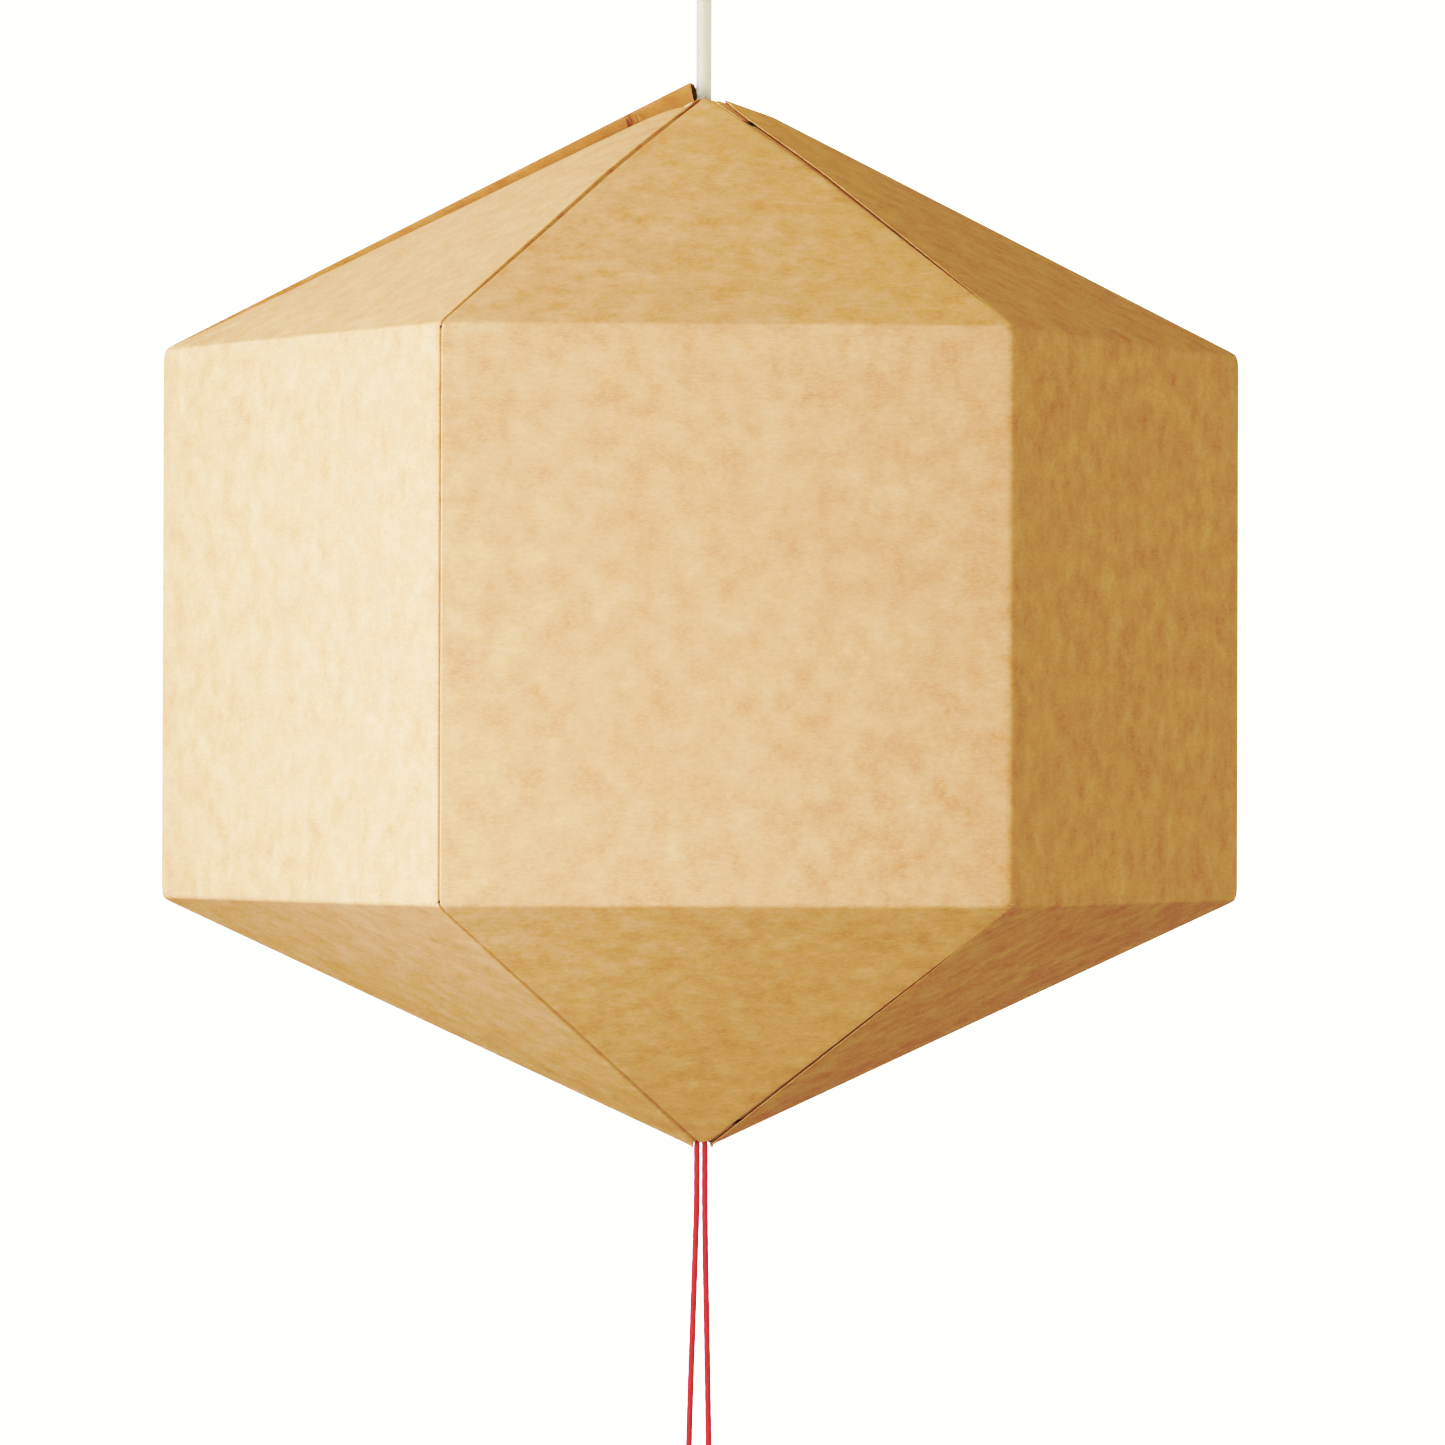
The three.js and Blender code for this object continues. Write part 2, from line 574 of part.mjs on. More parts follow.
// ---- Red cord: a knot inside the lower tips and two tails hanging through them ----
const TAIL_TOP_Z = TIP_Z + 1.4;
const tailKnot = (radius) => [
  [0, -radius],
  [0.7 * radius, -0.8 * radius],
  [radius, -0.25 * radius],
  [radius, 0.25 * radius],
  [0.7 * radius, 0.8 * radius],
  [0, radius],
];
const INNER_KNOT_RADIUS = 4.4;
const END_KNOT_RADIUS = 2.7;
const innerKnotZ = TAIL_TOP_Z + INNER_KNOT_RADIUS + 0.4;
add("cord_inner_knot", turned(tailKnot(INNER_KNOT_RADIUS), 14).translate(0, 0, innerKnotZ), redCord);

// Each tail falls almost straight, and the two part slowly as they go down: [sideways, below the top].
const tails = {
  left: [
    [-1.5, 0],
    [-1.5, 12],
    [-1.55, 24],
    [-2, 40],
    [-2.35, 52],
    [-2.75, 64],
    [-3.1, 76],
    [-3.5, 88],
    [-3.9, 102],
    [-4.25, 116],
    [-4.5, 128],
    [-4.8, 140],
    [-5.1, 152],
    [-5.3, 163],
    [-5.45, 174],
    [-5.6, 186],
  ],
  right: [
    [1.7, 0],
    [1.7, 12],
    [1.75, 24],
    [2, 42],
    [2.25, 54],
    [2.5, 66],
    [2.75, 78],
    [3, 90],
    [3.3, 106],
    [3.6, 122],
    [3.9, 134],
    [4.15, 146],
    [4.4, 158],
    [4.7, 170],
    [4.95, 182],
    [5.2, 194],
  ],
};
Object.entries(tails).forEach(([side, fall]) => {
  const route = fall.map(([x, down]) => [x, 0, TAIL_TOP_Z - down]);
  add("cord_tail_" + side, tube(route, CORD_RADIUS, 8, 36), redCord);
  const [endX, , endZ] = route[route.length - 1];
  const knot = turned(tailKnot(END_KNOT_RADIUS), 12).translate(endX, 0, endZ - END_KNOT_RADIUS - GAP);
  add("cord_end_knot_" + side, knot, redCord);
});

export default lantern;
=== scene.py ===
import json
from math import acos, cos, hypot, pi, radians, sin, sqrt

import bmesh
import bpy
import numpy as np
from mathutils import Matrix, Vector
from numpy.linalg import norm


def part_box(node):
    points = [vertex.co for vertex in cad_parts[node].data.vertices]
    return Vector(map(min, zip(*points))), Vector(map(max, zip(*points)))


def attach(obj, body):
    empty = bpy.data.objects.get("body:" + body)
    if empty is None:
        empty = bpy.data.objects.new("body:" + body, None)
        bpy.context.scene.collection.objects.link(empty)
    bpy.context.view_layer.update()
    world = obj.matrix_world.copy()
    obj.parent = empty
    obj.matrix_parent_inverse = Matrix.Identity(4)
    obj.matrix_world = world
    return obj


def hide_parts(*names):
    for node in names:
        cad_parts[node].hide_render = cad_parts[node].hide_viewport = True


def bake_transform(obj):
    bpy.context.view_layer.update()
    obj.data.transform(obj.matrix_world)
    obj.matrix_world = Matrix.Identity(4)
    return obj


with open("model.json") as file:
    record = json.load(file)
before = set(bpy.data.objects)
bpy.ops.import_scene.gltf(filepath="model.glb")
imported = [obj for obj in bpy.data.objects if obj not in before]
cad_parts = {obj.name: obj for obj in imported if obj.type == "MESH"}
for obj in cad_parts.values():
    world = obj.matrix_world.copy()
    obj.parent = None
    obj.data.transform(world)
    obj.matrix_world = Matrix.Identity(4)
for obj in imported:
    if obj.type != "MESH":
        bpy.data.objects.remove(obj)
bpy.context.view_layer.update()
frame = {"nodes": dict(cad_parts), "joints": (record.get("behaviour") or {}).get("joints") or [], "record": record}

# The pendant lantern's looks. Shapes are worked out in millimetres and written to the meshes in metres.
MM = 0.001
ROUND = 2 * pi
TINY = 1e-6
SHARP = 38  # degrees past which an edge isn't smoothed
joints = {j["name"]: j for j in frame["joints"]}
slot_of = {part["node"]: part["material_slot"] for part in frame["record"]["subparts"]}
body_of = {node: body for body, nodes in frame["record"]["behaviour"]["bodies"].items() for node in nodes}
PANELS = ["front", "front_right", "back_right", "back", "back_left", "front_left"]
scene = bpy.context.scene


def clamp(value, low=0.0, high=1.0):
    return np.minimum(np.maximum(value, low), high)


def smooth(value):
    t = clamp(value)
    return t * t * (3 - 2 * t)


def shown(name, data):
    """A new object of this data, in the scene."""
    made = bpy.data.objects.new(name, data)
    scene.collection.objects.link(made)
    return made


# ---- Camera ----
EYE_DISTANCE = 2.875
EYE_TURN = radians(-2.7)
EYE_Z = -0.375
AIM_RIGHT = 0.0082
AIM_Z = -0.353
ROLL = 0.003
SENSOR = 36
LENS = 179.8

side_dir = Vector((cos(EYE_TURN), sin(EYE_TURN), 0))
eye = Vector((EYE_DISTANCE * sin(EYE_TURN), -EYE_DISTANCE * cos(EYE_TURN), EYE_Z))
forward = (side_dir * AIM_RIGHT + Vector((0, 0, AIM_Z)) - eye).normalized()
level = forward.cross(Vector((0, 0, 1))).normalized()
above = level.cross(forward)
right_dir = cos(ROLL) * level + sin(ROLL) * above
up_dir = cos(ROLL) * above - sin(ROLL) * level
camera = shown("camera", bpy.data.cameras.new("camera"))
turned_to = Matrix((right_dir, up_dir, -forward)).transposed().to_4x4()
camera.matrix_world = Matrix.Translation(eye) @ turned_to
camera.data.sensor_width = SENSOR
camera.data.lens = LENS
camera.data.clip_end = 50
scene.camera = camera

# ---- Materials ----
looks = {}  # each material, under its slot's name


def srgb(r, g, b):
    def linear(c):
        c /= 255
        return c / 12.92 if c <= 0.04045 else ((c + 0.055) / 1.055) ** 2.4

    return (linear(r), linear(g), linear(b), 1)


class Tree:
    """A short way to write a node tree."""

    def __init__(self, tree):
        self.tree = tree

    def put(self, socket, value):
        """Links a socket to an output, or sets it to a value."""
        if hasattr(value, "is_output"):
            self.tree.links.new(value, socket)
        else:
            socket.default_value = value

    def new(self, kind, inputs, **facts):
        node = self.tree.nodes.new(kind)
        for key, value in facts.items():
            setattr(node, key, value)
        for key, value in inputs.items():
            self.put(node.inputs[key], value)
        return node

    def spread(self, value, low, high, to_low=0.0, to_high=1.0):
        inputs = {"Value": value, "From Min": low, "From Max": high, "To Min": to_low, "To Max": to_high}
        return self.new("ShaderNodeMapRange", inputs).outputs["Result"]


class Look(Tree):
    """A material's node tree, with its textures held to the piece."""

    def __init__(self, name):
        self.material = looks[name] = bpy.data.materials.new(name)
        self.material.use_nodes = True
        super().__init__(self.material.node_tree)
        self.shader = self.tree.nodes["Principled BSDF"]
        self.place = self.new("ShaderNodeTexCoord", {}).outputs["Object"]

    def noise(self, scale, detail, rough, stretch=(1, 1, 1), offset=(0, 0, 0)):
        inputs = {"Vector": self.place, "Scale": stretch, "Location": offset}
        place = self.new("ShaderNodeMapping", inputs).outputs["Vector"]
        inputs = {"Vector": place, "Scale": scale, "Detail": detail, "Roughness": rough}
        return self.new("ShaderNodeTexNoise", inputs).outputs["Fac"]

    def blend(self, amount, one, two):
        node = self.new("ShaderNodeMix", {}, data_type="RGBA")
        for socket, value in zip([s for s in node.inputs if s.enabled], (amount, one, two)):
            self.put(socket, value)
        return [s for s in node.outputs if s.enabled][0]

    def sum(self, one, two, kind="ADD"):
        return self.new("ShaderNodeMath", {0: one, 1: two}, operation=kind).outputs[0]

    def bump(self, height, strength, distance):
        inputs = {"Height": height, "Strength": strength, "Distance": distance}
        self.set(Normal=self.new("ShaderNodeBump", inputs).outputs["Normal"])

    def set(self, **values):
        for key, value in values.items():
            self.put(self.shader.inputs[key.replace("_", " ")], value)


def kraft(name, base, dark, light, grain=1.0):
    """Kraft card: mottled from dark to light, fibrous, a little translucent, with a few dark flecks."""
    n = Look(name)
    clouds = n.noise(95, 6, 0.62)
    patches = n.noise(34, 3, 0.5, offset=(3, 1, 7))
    streaks = n.noise(480, 3, 0.6, stretch=(0.5, 0.5, 1.9))
    fibres = n.noise(1500, 4, 0.7, stretch=(0.35, 0.35, 1.6), offset=(5, 2, 1))
    flecks = n.noise(520, 2, 0.5, stretch=(1, 1, 1.8), offset=(9, 4, 2))
    tone = n.blend(n.spread(clouds, 0.27, 0.73), dark, light)
    tone = n.blend(n.spread(patches, 0.35, 0.65, 0.2, 0.5), tone, base)
    tone = n.blend(n.spread(streaks, 0.4, 0.7, 0.0, 0.3 * grain), tone, dark)
    tone = n.blend(n.spread(fibres, 0.42, 0.7, 0.0, 0.5 * grain), tone, light)
    fleck = (dark[0] * 0.5, dark[1] * 0.45, dark[2] * 0.4, 1)
    tone = n.blend(n.spread(flecks, 0.75, 0.8, 0.0, 0.4), tone, fleck)
    n.set(Base_Color=tone, Roughness=n.spread(fibres, 0.3, 0.7, 0.84, 0.97), Specular_IOR_Level=0.25)
    n.bump(n.sum(n.sum(fibres, streaks), n.sum(clouds, 0.6, "MULTIPLY")), 0.35, 0.00018)
    n.set(Subsurface_Weight=0.3, Subsurface_Scale=0.0016, Subsurface_Radius=(1, 0.6, 0.32))


def moulded(name, base, rough, speck, metallic=0.0, coat=0.0, soft=0.0):
    """A moulded or turned surface: slight tone changes, fine texture and rubbed marks."""
    n = Look(name)
    patches = n.noise(60, 4, 0.6)
    fine = n.noise(1800, 2, 0.5)
    scuffs = n.noise(240, 5, 0.75, stretch=(1, 1, 0.25), offset=(2, 8, 5))
    shade = tuple(c * (1 - speck) for c in base[:3]) + (1,)
    worn = tuple(min(1, c * (1 + speck)) for c in base[:3]) + (1,)
    tone = n.blend(n.spread(patches, 0.3, 0.7), shade, base)
    n.set(Base_Color=n.blend(n.spread(scuffs, 0.62, 0.78, 0.0, 0.7), tone, worn))
    n.set(Roughness=n.spread(scuffs, 0.3, 0.8, rough * 0.85, min(1, rough * 1.35)))
    n.bump(n.sum(fine, scuffs), 0.18, 0.00006)
    n.set(Specular_IOR_Level=0.5, Metallic=metallic, Coat_Weight=coat)
    n.set(Subsurface_Weight=soft, Subsurface_Scale=0.06, Subsurface_Radius=(1, 0.95, 0.9))


def opal():
    """The lamp's milky globe."""
    n = Look("opal")
    tone = n.blend(n.spread(n.noise(40, 3, 0.5), 0.3, 0.7), srgb(240, 238, 231), srgb(248, 247, 242))
    n.set(Base_Color=tone, Roughness=n.spread(n.noise(300, 3, 0.6), 0.3, 0.7, 0.3, 0.42))
    n.bump(n.noise(1400, 2, 0.5), 0.1, 0.00005)
    n.set(Subsurface_Weight=0.25, Subsurface_Scale=0.004)


def red_cord():
    """Twisted red cord, faded in places."""
    n = Look("red_cord")
    threads = n.noise(2600, 3, 0.6, stretch=(1, 1, 0.35))
    faded = n.noise(90, 3, 0.5)
    tone = n.blend(n.spread(threads, 0.3, 0.7), srgb(176, 58, 64), srgb(205, 80, 84))
    n.set(Base_Color=n.blend(n.spread(faded, 0.45, 0.75, 0.0, 0.3), tone, srgb(214, 92, 94)))
    n.set(Roughness=n.spread(threads, 0.3, 0.7, 0.45, 0.7), Sheen_Weight=0.3, Sheen_Roughness=0.4)
    n.bump(threads, 0.3, 0.00006)


kraft("kraft_card", srgb(206, 166, 131), srgb(192, 146, 110), srgb(220, 189, 150))
# The darker card below is painted shade: it goes on the tab band, where the tab lies in the shadow of the leaf over it.
kraft("kraft_tab_painted_shade", srgb(178, 137, 98), srgb(160, 118, 80), srgb(192, 154, 118))
kraft("kraft_cut_edge", srgb(224, 190, 150), srgb(206, 166, 122), srgb(236, 208, 172), 1.4)
moulded("white_flex", srgb(170, 165, 138), 0.4, 0.03, soft=1.0)
moulded("white_plastic", srgb(229, 226, 216), 0.4, 0.03)
moulded("grey_plastic", srgb(186, 185, 178), 0.5, 0.05)
moulded("porcelain", srgb(238, 234, 224), 0.18, 0.02, coat=0.4)
moulded("brass", srgb(214, 176, 96), 0.3, 0.12, metallic=1.0)
moulded("steel", srgb(190, 192, 196), 0.3, 0.1, metallic=1.0)
moulded("aluminium", srgb(205, 207, 210), 0.32, 0.08, metallic=1.0)
moulded("circuit_board", srgb(222, 226, 222), 0.45, 0.04)
moulded("black_glass", srgb(24, 24, 28), 0.15, 0.2)
moulded("led_phosphor", srgb(226, 190, 70), 0.5, 0.08)
moulded("core_brown", srgb(104, 62, 36), 0.42, 0.08)
moulded("core_blue", srgb(38, 96, 170), 0.42, 0.08)
opal()
red_cord()


# ---- Meshes ----
def shade(mesh, sharp=SHARP):
    mesh.polygons.foreach_set("use_smooth", [True] * len(mesh.polygons))
    mesh.set_sharp_from_angle(angle=radians(sharp))


def finish_mesh(name, points, faces, materials, which=None, sharp=SHARP):
    """An object from points in millimetres. which gives each face's material."""
    mesh = bpy.data.meshes.new(name)
    mesh.from_pydata([tuple(float(c) * MM for c in p) for p in points], [], faces)
    mesh.validate()
    for material in materials:
        mesh.materials.append(looks[material])
    if which is not None and len(which) == len(mesh.polygons):
        mesh.polygons.foreach_set("material_index", which)
    shade(mesh, sharp)
    mesh.update()
    return shown(name, mesh)


def run_along(route):
    """How far along the route each of its points is."""
    return np.concatenate([[0], np.cumsum(norm(np.diff(route, axis=0), axis=1))])


def tube_parts(route, radius, sides, lobes=0, lobe_depth=0.0, lay=1.0, closed=False):
    """Points and faces of a tube along route. With lobes, its section is that many strands, laid with this pitch."""
    route = np.array(route, float)
    count = len(route)
    if closed:
        heading = np.roll(route, -1, 0) - np.roll(route, 1, 0)
    else:
        heading = np.gradient(route, axis=0)
    heading /= norm(heading, axis=1)[:, None]
    first = np.cross(heading[0], [0.31, 0.95, 0.07])
    first /= norm(first)
    across = [first]
    for i in range(1, count):
        a = across[-1] - heading[i] * (across[-1] @ heading[i])
        across.append(a / norm(a))
    run = run_along(route)
    points = []
    for i in range(count):
        other = np.cross(heading[i], across[i])
        for angle in ROUND * np.arange(sides) / sides:
            dip = (0.5 - 0.5 * cos(lobes * angle - ROUND * run[i] / lay)) ** 2 if lobes else 0
            r = radius - lobe_depth * dip
            points.append(route[i] + r * (cos(angle) * across[i] + sin(angle) * other))
    faces = []
    for i in range(count if closed else count - 1):
        this, after = i * sides, (i + 1) % count * sides
        for j in range(sides):
            k = (j + 1) % sides
            faces.append((this + j, this + k, after + k, after + j))
    if not closed:
        faces.append(tuple(reversed(range(sides))))
        faces.append(tuple(range((count - 1) * sides, count * sides)))
    return points, faces


def eased(profile, radius, steps=3):
    """A closed profile with each of its corners rounded."""
    out = []
    count = len(profile)
    for i, corner in enumerate(profile):
        b = np.array(corner, float)
        a, c = np.array(profile[i - 1], float), np.array(profile[(i + 1) % count], float)
        la, lc = norm(a - b), norm(c - b)
        if b[0] < TINY or la < TINY or lc < TINY:
            out.append(tuple(b))
            continue
        reach = min(radius, 0.45 * la, 0.45 * lc)
        p, q = b + (a - b) / la * reach, b + (c - b) / lc * reach
        for s in np.linspace(0, 1, steps + 1):
            out.append(tuple((1 - s) ** 2 * p + 2 * s * (1 - s) * b + s * s * q))
    return out


def lathe_parts(profile, sides, wobble=None):
    """A closed [radius, height] profile turned about Z. wobble(angle, radius, height) may change a point's radius."""
    count = len(profile)
    points, faces = [], []
    for i in range(sides):
        angle = ROUND * i / sides
        for r, z in profile:
            rr = r if wobble is None or r < TINY else wobble(angle, r, z)
            points.append((rr * cos(angle), rr * sin(angle), z))
    for i in range(sides):
        n = (i + 1) % sides
        for j in range(count):
            k = (j + 1) % count
            if profile[j][0] >= TINY or profile[k][0] >= TINY:
                faces.append((i * count + j, n * count + j, n * count + k, i * count + k))
    return points, faces


def weld(parts):
    """Several (points, faces) as one."""
    points, faces = [], []
    for p, f in parts:
        base = len(points)
        points.extend(p)
        faces.extend(tuple(base + i for i in face) for face in f)
    return points, faces


def tidy(made):
    """Merges doubled points and turns the faces out."""
    bm = bmesh.new()
    bm.from_mesh(made.data)
    bmesh.ops.remove_doubles(bm, verts=bm.verts, dist=1e-6)
    bmesh.ops.dissolve_degenerate(bm, edges=bm.edges, dist=1e-7)
    bmesh.ops.recalc_face_normals(bm, faces=bm.faces)
    bm.to_mesh(made.data)
    bm.free()
    made.data.set_sharp_from_angle(angle=radians(SHARP))
    return made


def solid(name, parts, look):
    return tidy(finish_mesh(name, *parts, [look]))


def placed(made, node, instead=True):
    """Sets a piece on a CAD node's body and, unless it is an extra one, in its place."""
    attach(made, body_of[node])
    if instead:
        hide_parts(node)
    return made


def fitted(name, parts, node):
    return placed(solid(name, parts, slot_of[node]), node)


def turned(name, profile, node, round_by, sides, extra=()):
    """A piece turned about Z, with its corners rounded."""
    shape = eased(profile, round_by) if round_by else profile
    return fitted(name, weld([lathe_parts(shape, sides), *extra]), node)


# ---- Cords ----
def curve_cord(name, route, radius, look):
    curve = bpy.data.curves.new(name, "CURVE")
    curve.dimensions = "3D"
    curve.bevel_depth = radius * MM
    curve.bevel_resolution = 8
    curve.resolution_u = 6
    curve.use_fill_caps = True
    spline = curve.splines.new("BEZIER")
    spline.bezier_points.add(len(route) - 1)
    for point, p in zip(spline.bezier_points, route):
        point.co = [c * MM for c in p]
        point.handle_left_type = point.handle_right_type = "AUTO"
    curve.materials.append(looks[look])
    return shown(name, curve)


CABLE_RADIUS = 3.1
CABLE_POINTS = 16
cable_low, cable_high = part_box("mains_cable")
CABLE_BOTTOM, CABLE_TOP = cable_low.z / MM, cable_high.z / MM
CABLE_LENGTH = CABLE_TOP - CABLE_BOTTOM
cable_route = [(0, 0, CABLE_BOTTOM + CABLE_LENGTH * i / (CABLE_POINTS - 1)) for i in range(CABLE_POINTS)]
flex = placed(curve_cord("flex", cable_route, CABLE_RADIUS, "white_flex"), "mains_cable")

CORD_RADIUS = 1.1
TAIL_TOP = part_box("cord_tail_left")[1].z / MM
# Each tail's course: how far it is to the right of the middle, and how far down.
TAIL_FALLS = {
    "left": [
        (-1.5, 0), (-1.5, 12), (-1.55, 24), (-2, 40), (-2.35, 52), (-2.75, 64), (-3.1, 76), (-3.5, 88),
        (-3.9, 102), (-4.25, 116), (-4.5, 128), (-4.8, 140), (-5.1, 152), (-5.3, 163), (-5.45, 174), (-5.6, 186),
    ],
    "right": [
        (1.7, 0), (1.7, 12), (1.75, 24), (2, 42), (2.25, 54), (2.5, 66), (2.75, 78), (3, 90),
        (3.3, 106), (3.6, 122), (3.9, 134), (4.15, 146), (4.4, 158), (4.7, 170), (4.95, 182), (5.2, 194),
    ],
}


def curve_through(points, count):
    """A centripetal Catmull-Rom curve through the points, at an even spacing, and its length."""

    def mix(one, two, t):
        """Between two (value, parameter) pairs, at parameter t."""
        (a, ta), (b, tb) = one, two
        return (tb - t) / (tb - ta) * a + (t - ta) / (tb - ta) * b

    pts = [np.array(p, float) for p in points]
    pts = [2 * pts[0] - pts[1], *pts, 2 * pts[-1] - pts[-2]]
    dense = []
    for i in range(1, len(pts) - 2):
        p = pts[i - 1 : i + 3]
        at = [0.0]
        for one, two in zip(p, p[1:]):
            at.append(at[-1] + norm(two - one) ** 0.5)
        for t in np.linspace(at[1], at[2], 24, endpoint=i == len(pts) - 3):
            a1, a2, a3 = (mix((p[j], at[j]), (p[j + 1], at[j + 1]), t) for j in range(3))
            b1, b2 = mix((a1, at[0]), (a2, at[2]), t), mix((a2, at[1]), (a3, at[3]), t)
            dense.append(mix((b1, at[1]), (b2, at[2]), t))
    dense = np.array(dense)
    run = run_along(dense)
    even = np.linspace(0, run[-1], count)
    return np.stack([np.interp(even, run, dense[:, k]) for k in range(3)], axis=1), run[-1]


def knot_parts(centre, size, cord, turn):
    """An overhand knot drawn tight: a trefoil of cord that fits in a ball of this size."""
    route = []
    reach = (size - cord) / 3
    c, s = cos(turn), sin(turn)
    for t in np.linspace(0, ROUND, 96, endpoint=False):
        x, y = sin(t) + 2 * sin(2 * t), cos(t) - 2 * cos(2 * t)
        z = -sin(3 * t)
        side, deep = (c * x - s * y) * reach, z * reach * 1.15
        route.append(np.array(centre) + [side, deep, (s * x + c * y) * reach])
    return tube_parts(route, cord, 12, closed=True)


tails = {}
for side, falls in TAIL_FALLS.items():
    route, length = curve_through([(x, 0, TAIL_TOP - down) for x, down in falls], 190)
    strands = tube_parts(route, CORD_RADIUS + 0.08, 18, 3, 0.07, 6.5)
    tail = finish_mesh(f"red_tail_{side}", *strands, ["red_cord"], sharp=80)
    placed(tail, f"cord_tail_{side}")
    low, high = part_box(f"cord_end_knot_{side}")
    centre = np.array((low + high) / 2 / MM)
    knot_size = (high.z - low.z) / 2 / MM
    stub = [route[-1] + [0, 0, 0.4], route[-1] - [0, 0, 1.2], centre + [0, 0, 0.4]]
    brush = [centre - [0, 0, 0.6], centre - [0, 0, knot_size - 0.1]]
    parts = [knot_parts(centre, knot_size, 0.98, 0.4), tube_parts(stub, 0.92, 12), tube_parts(brush, 0.8, 12)]
    knot = fitted(f"red_end_knot_{side}", weld(parts), f"cord_end_knot_{side}")
    tails[side] = (tail, knot, route, length)


# ---- Card ----
low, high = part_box("shell_front")
SIDE = high.x / MM
APOTHEM = SIDE * cos(pi / 6)
WALL_TOP = joints["top_flap_front_fold"]["pos_m"][2] / MM
WALL_BOTTOM = joints["bottom_flap_front_fold"]["pos_m"][2] / MM
TOP_RISE = 108
BOTTOM_DROP = 100
# How far each flap's tip stops short of the middle, on the upper (1) and the lower (-1) pyramid.
OPENINGS = {1: [6, 8.2, 9.5, 4.2, 3.9, 4.5], -1: [5.5, 3.4, 5.5, 5.5, 2.7, 5.2]}
SLOTTED = (0, 2, 4)  # these flaps' tabs have the half-round slots
CARD = 0.6
TAB_DEPTH = 0.72
TAB_WIDTH = 13
TAB_TAPER = 0.085
TAB_START = 24
SLOT_RADIUS = 2.8
SLOT_DEPTH = 2.4
SLOT_FROM_APEX = {1: 32, -1: 25}
TAB_PAST_SLOT = 7.8
SAG = 4.0  # the front of the upper pyramid sinks this far at its tip
SAG_START = 0.6  # from this share of its height up
SAG_ENDS, SAG_FADES = 88, 52  # it is gone this many degrees from the front, and fades over this many
SIDE_SAG = 4.2  # the right-hand side sinks this far, close to the tip
SIDE_SAG_START = 0.875
SIDE_SAG_ENDS, SIDE_SAG_FADES = 182, 30
STRIP = 1.8  # a flap's piece reaches this far past its crease into the wall
FOLD_REACH = 1.5  # a crease is rounded over this length on each side
CORNER_REACH = 2.4  # and a wall's corner over this
ROUNDING = 0.25  # how far a fold's edge is drawn in, as a share of that length
DENT_REACH = 5.0
DENT = 0.6  # the twelve corners are pushed in this far
GLUED = (5, 2)  # these panels' right-hand corners are the two glued seams
SETBACK = 1.2  # a glued panel's edge stands back from its corner this far
# How a cut edge turns in: (depth, distance in from the edge). The flat face starts LIP in.
EDGE = ((0.42, 0.0), (0.2, 0.1), (0.06, 0.28))
LIP = 0.5

# How far each panel and flap bows out in its middle.
WALL_BOW = [0.5, -0.4, 0.35, 0.5, -0.3, 0.45]
FLAP_BOW = {1: [0.9, 0.7, -0.5, 0.8, 0.6, 0.9], -1: [-0.8, 0.6, 0.5, -0.6, 0.6, 0.7]}
# At each flap's right-hand seam, at the tip unless said: how far its fold stands up, the next leaf's set-back
# (at the corner, midway and at the tip), how far the next leaf's edge stands up, over what width, and how wide
# and how deep the step from the fold down to the tab is.
SEAMS = {
    1: [
        (-0.8, (0.8, 3.6, 5.4), 0.15, 5, 1.8, 0.9),
        (0.4, (0.8, 1.6, 1.6), 0.5, 5, 1.4, 0.72),
        (0.6, (0.8, 1.4, 1.8), 0.4, 5, 1.4, 0.72),
        (0.5, (0.8, 1.2, 0.2), 0.3, 5, 1.4, 0.72),
        (2.7, (0.8, 3.6, 7.2), -1.9, 34, 3.8, 3.6),
        (-0.2, (0.8, 2.4, 2.5), 0.1, 5, 1.3, 1.3),
    ],
    -1: [
        (-0.5, (0.8, 2.2, 3.6), 0.1, 4, 1.6, 0.8),
        (0.3, (0.8, 1.3, 1.5), 0.4, 5, 1.4, 0.72),
        (0.4, (0.8, 1.3, 1.6), 0.4, 5, 1.4, 0.72),
        (0.4, (0.8, 1.3, 1.5), 0.4, 5, 1.4, 0.72),
        (0.4, (0.8, 1.3, 1.6), 0.4, 5, 1.4, 0.72),
        (-0.2, (0.8, 1.8, 1.8), 0.1, 5, 1.4, 0.95),
    ],
}


def panel_axes(k):
    """Panel k's directions outward and along its edge to the right."""
    a = radians(-90 + 60 * k)
    return np.array([cos(a), sin(a), 0]), np.array([-sin(a), cos(a), 0])


def corner_of(k):
    """The corner at the right of panel k."""
    a = radians(-60 + 60 * k)
    return np.array([SIDE * cos(a), SIDE * sin(a)])


def segment_distance(points, a, b):
    along = b - a
    t = clamp(((points - a) @ along) / (along @ along))
    return norm(points - (a + t[:, None] * along), axis=1)


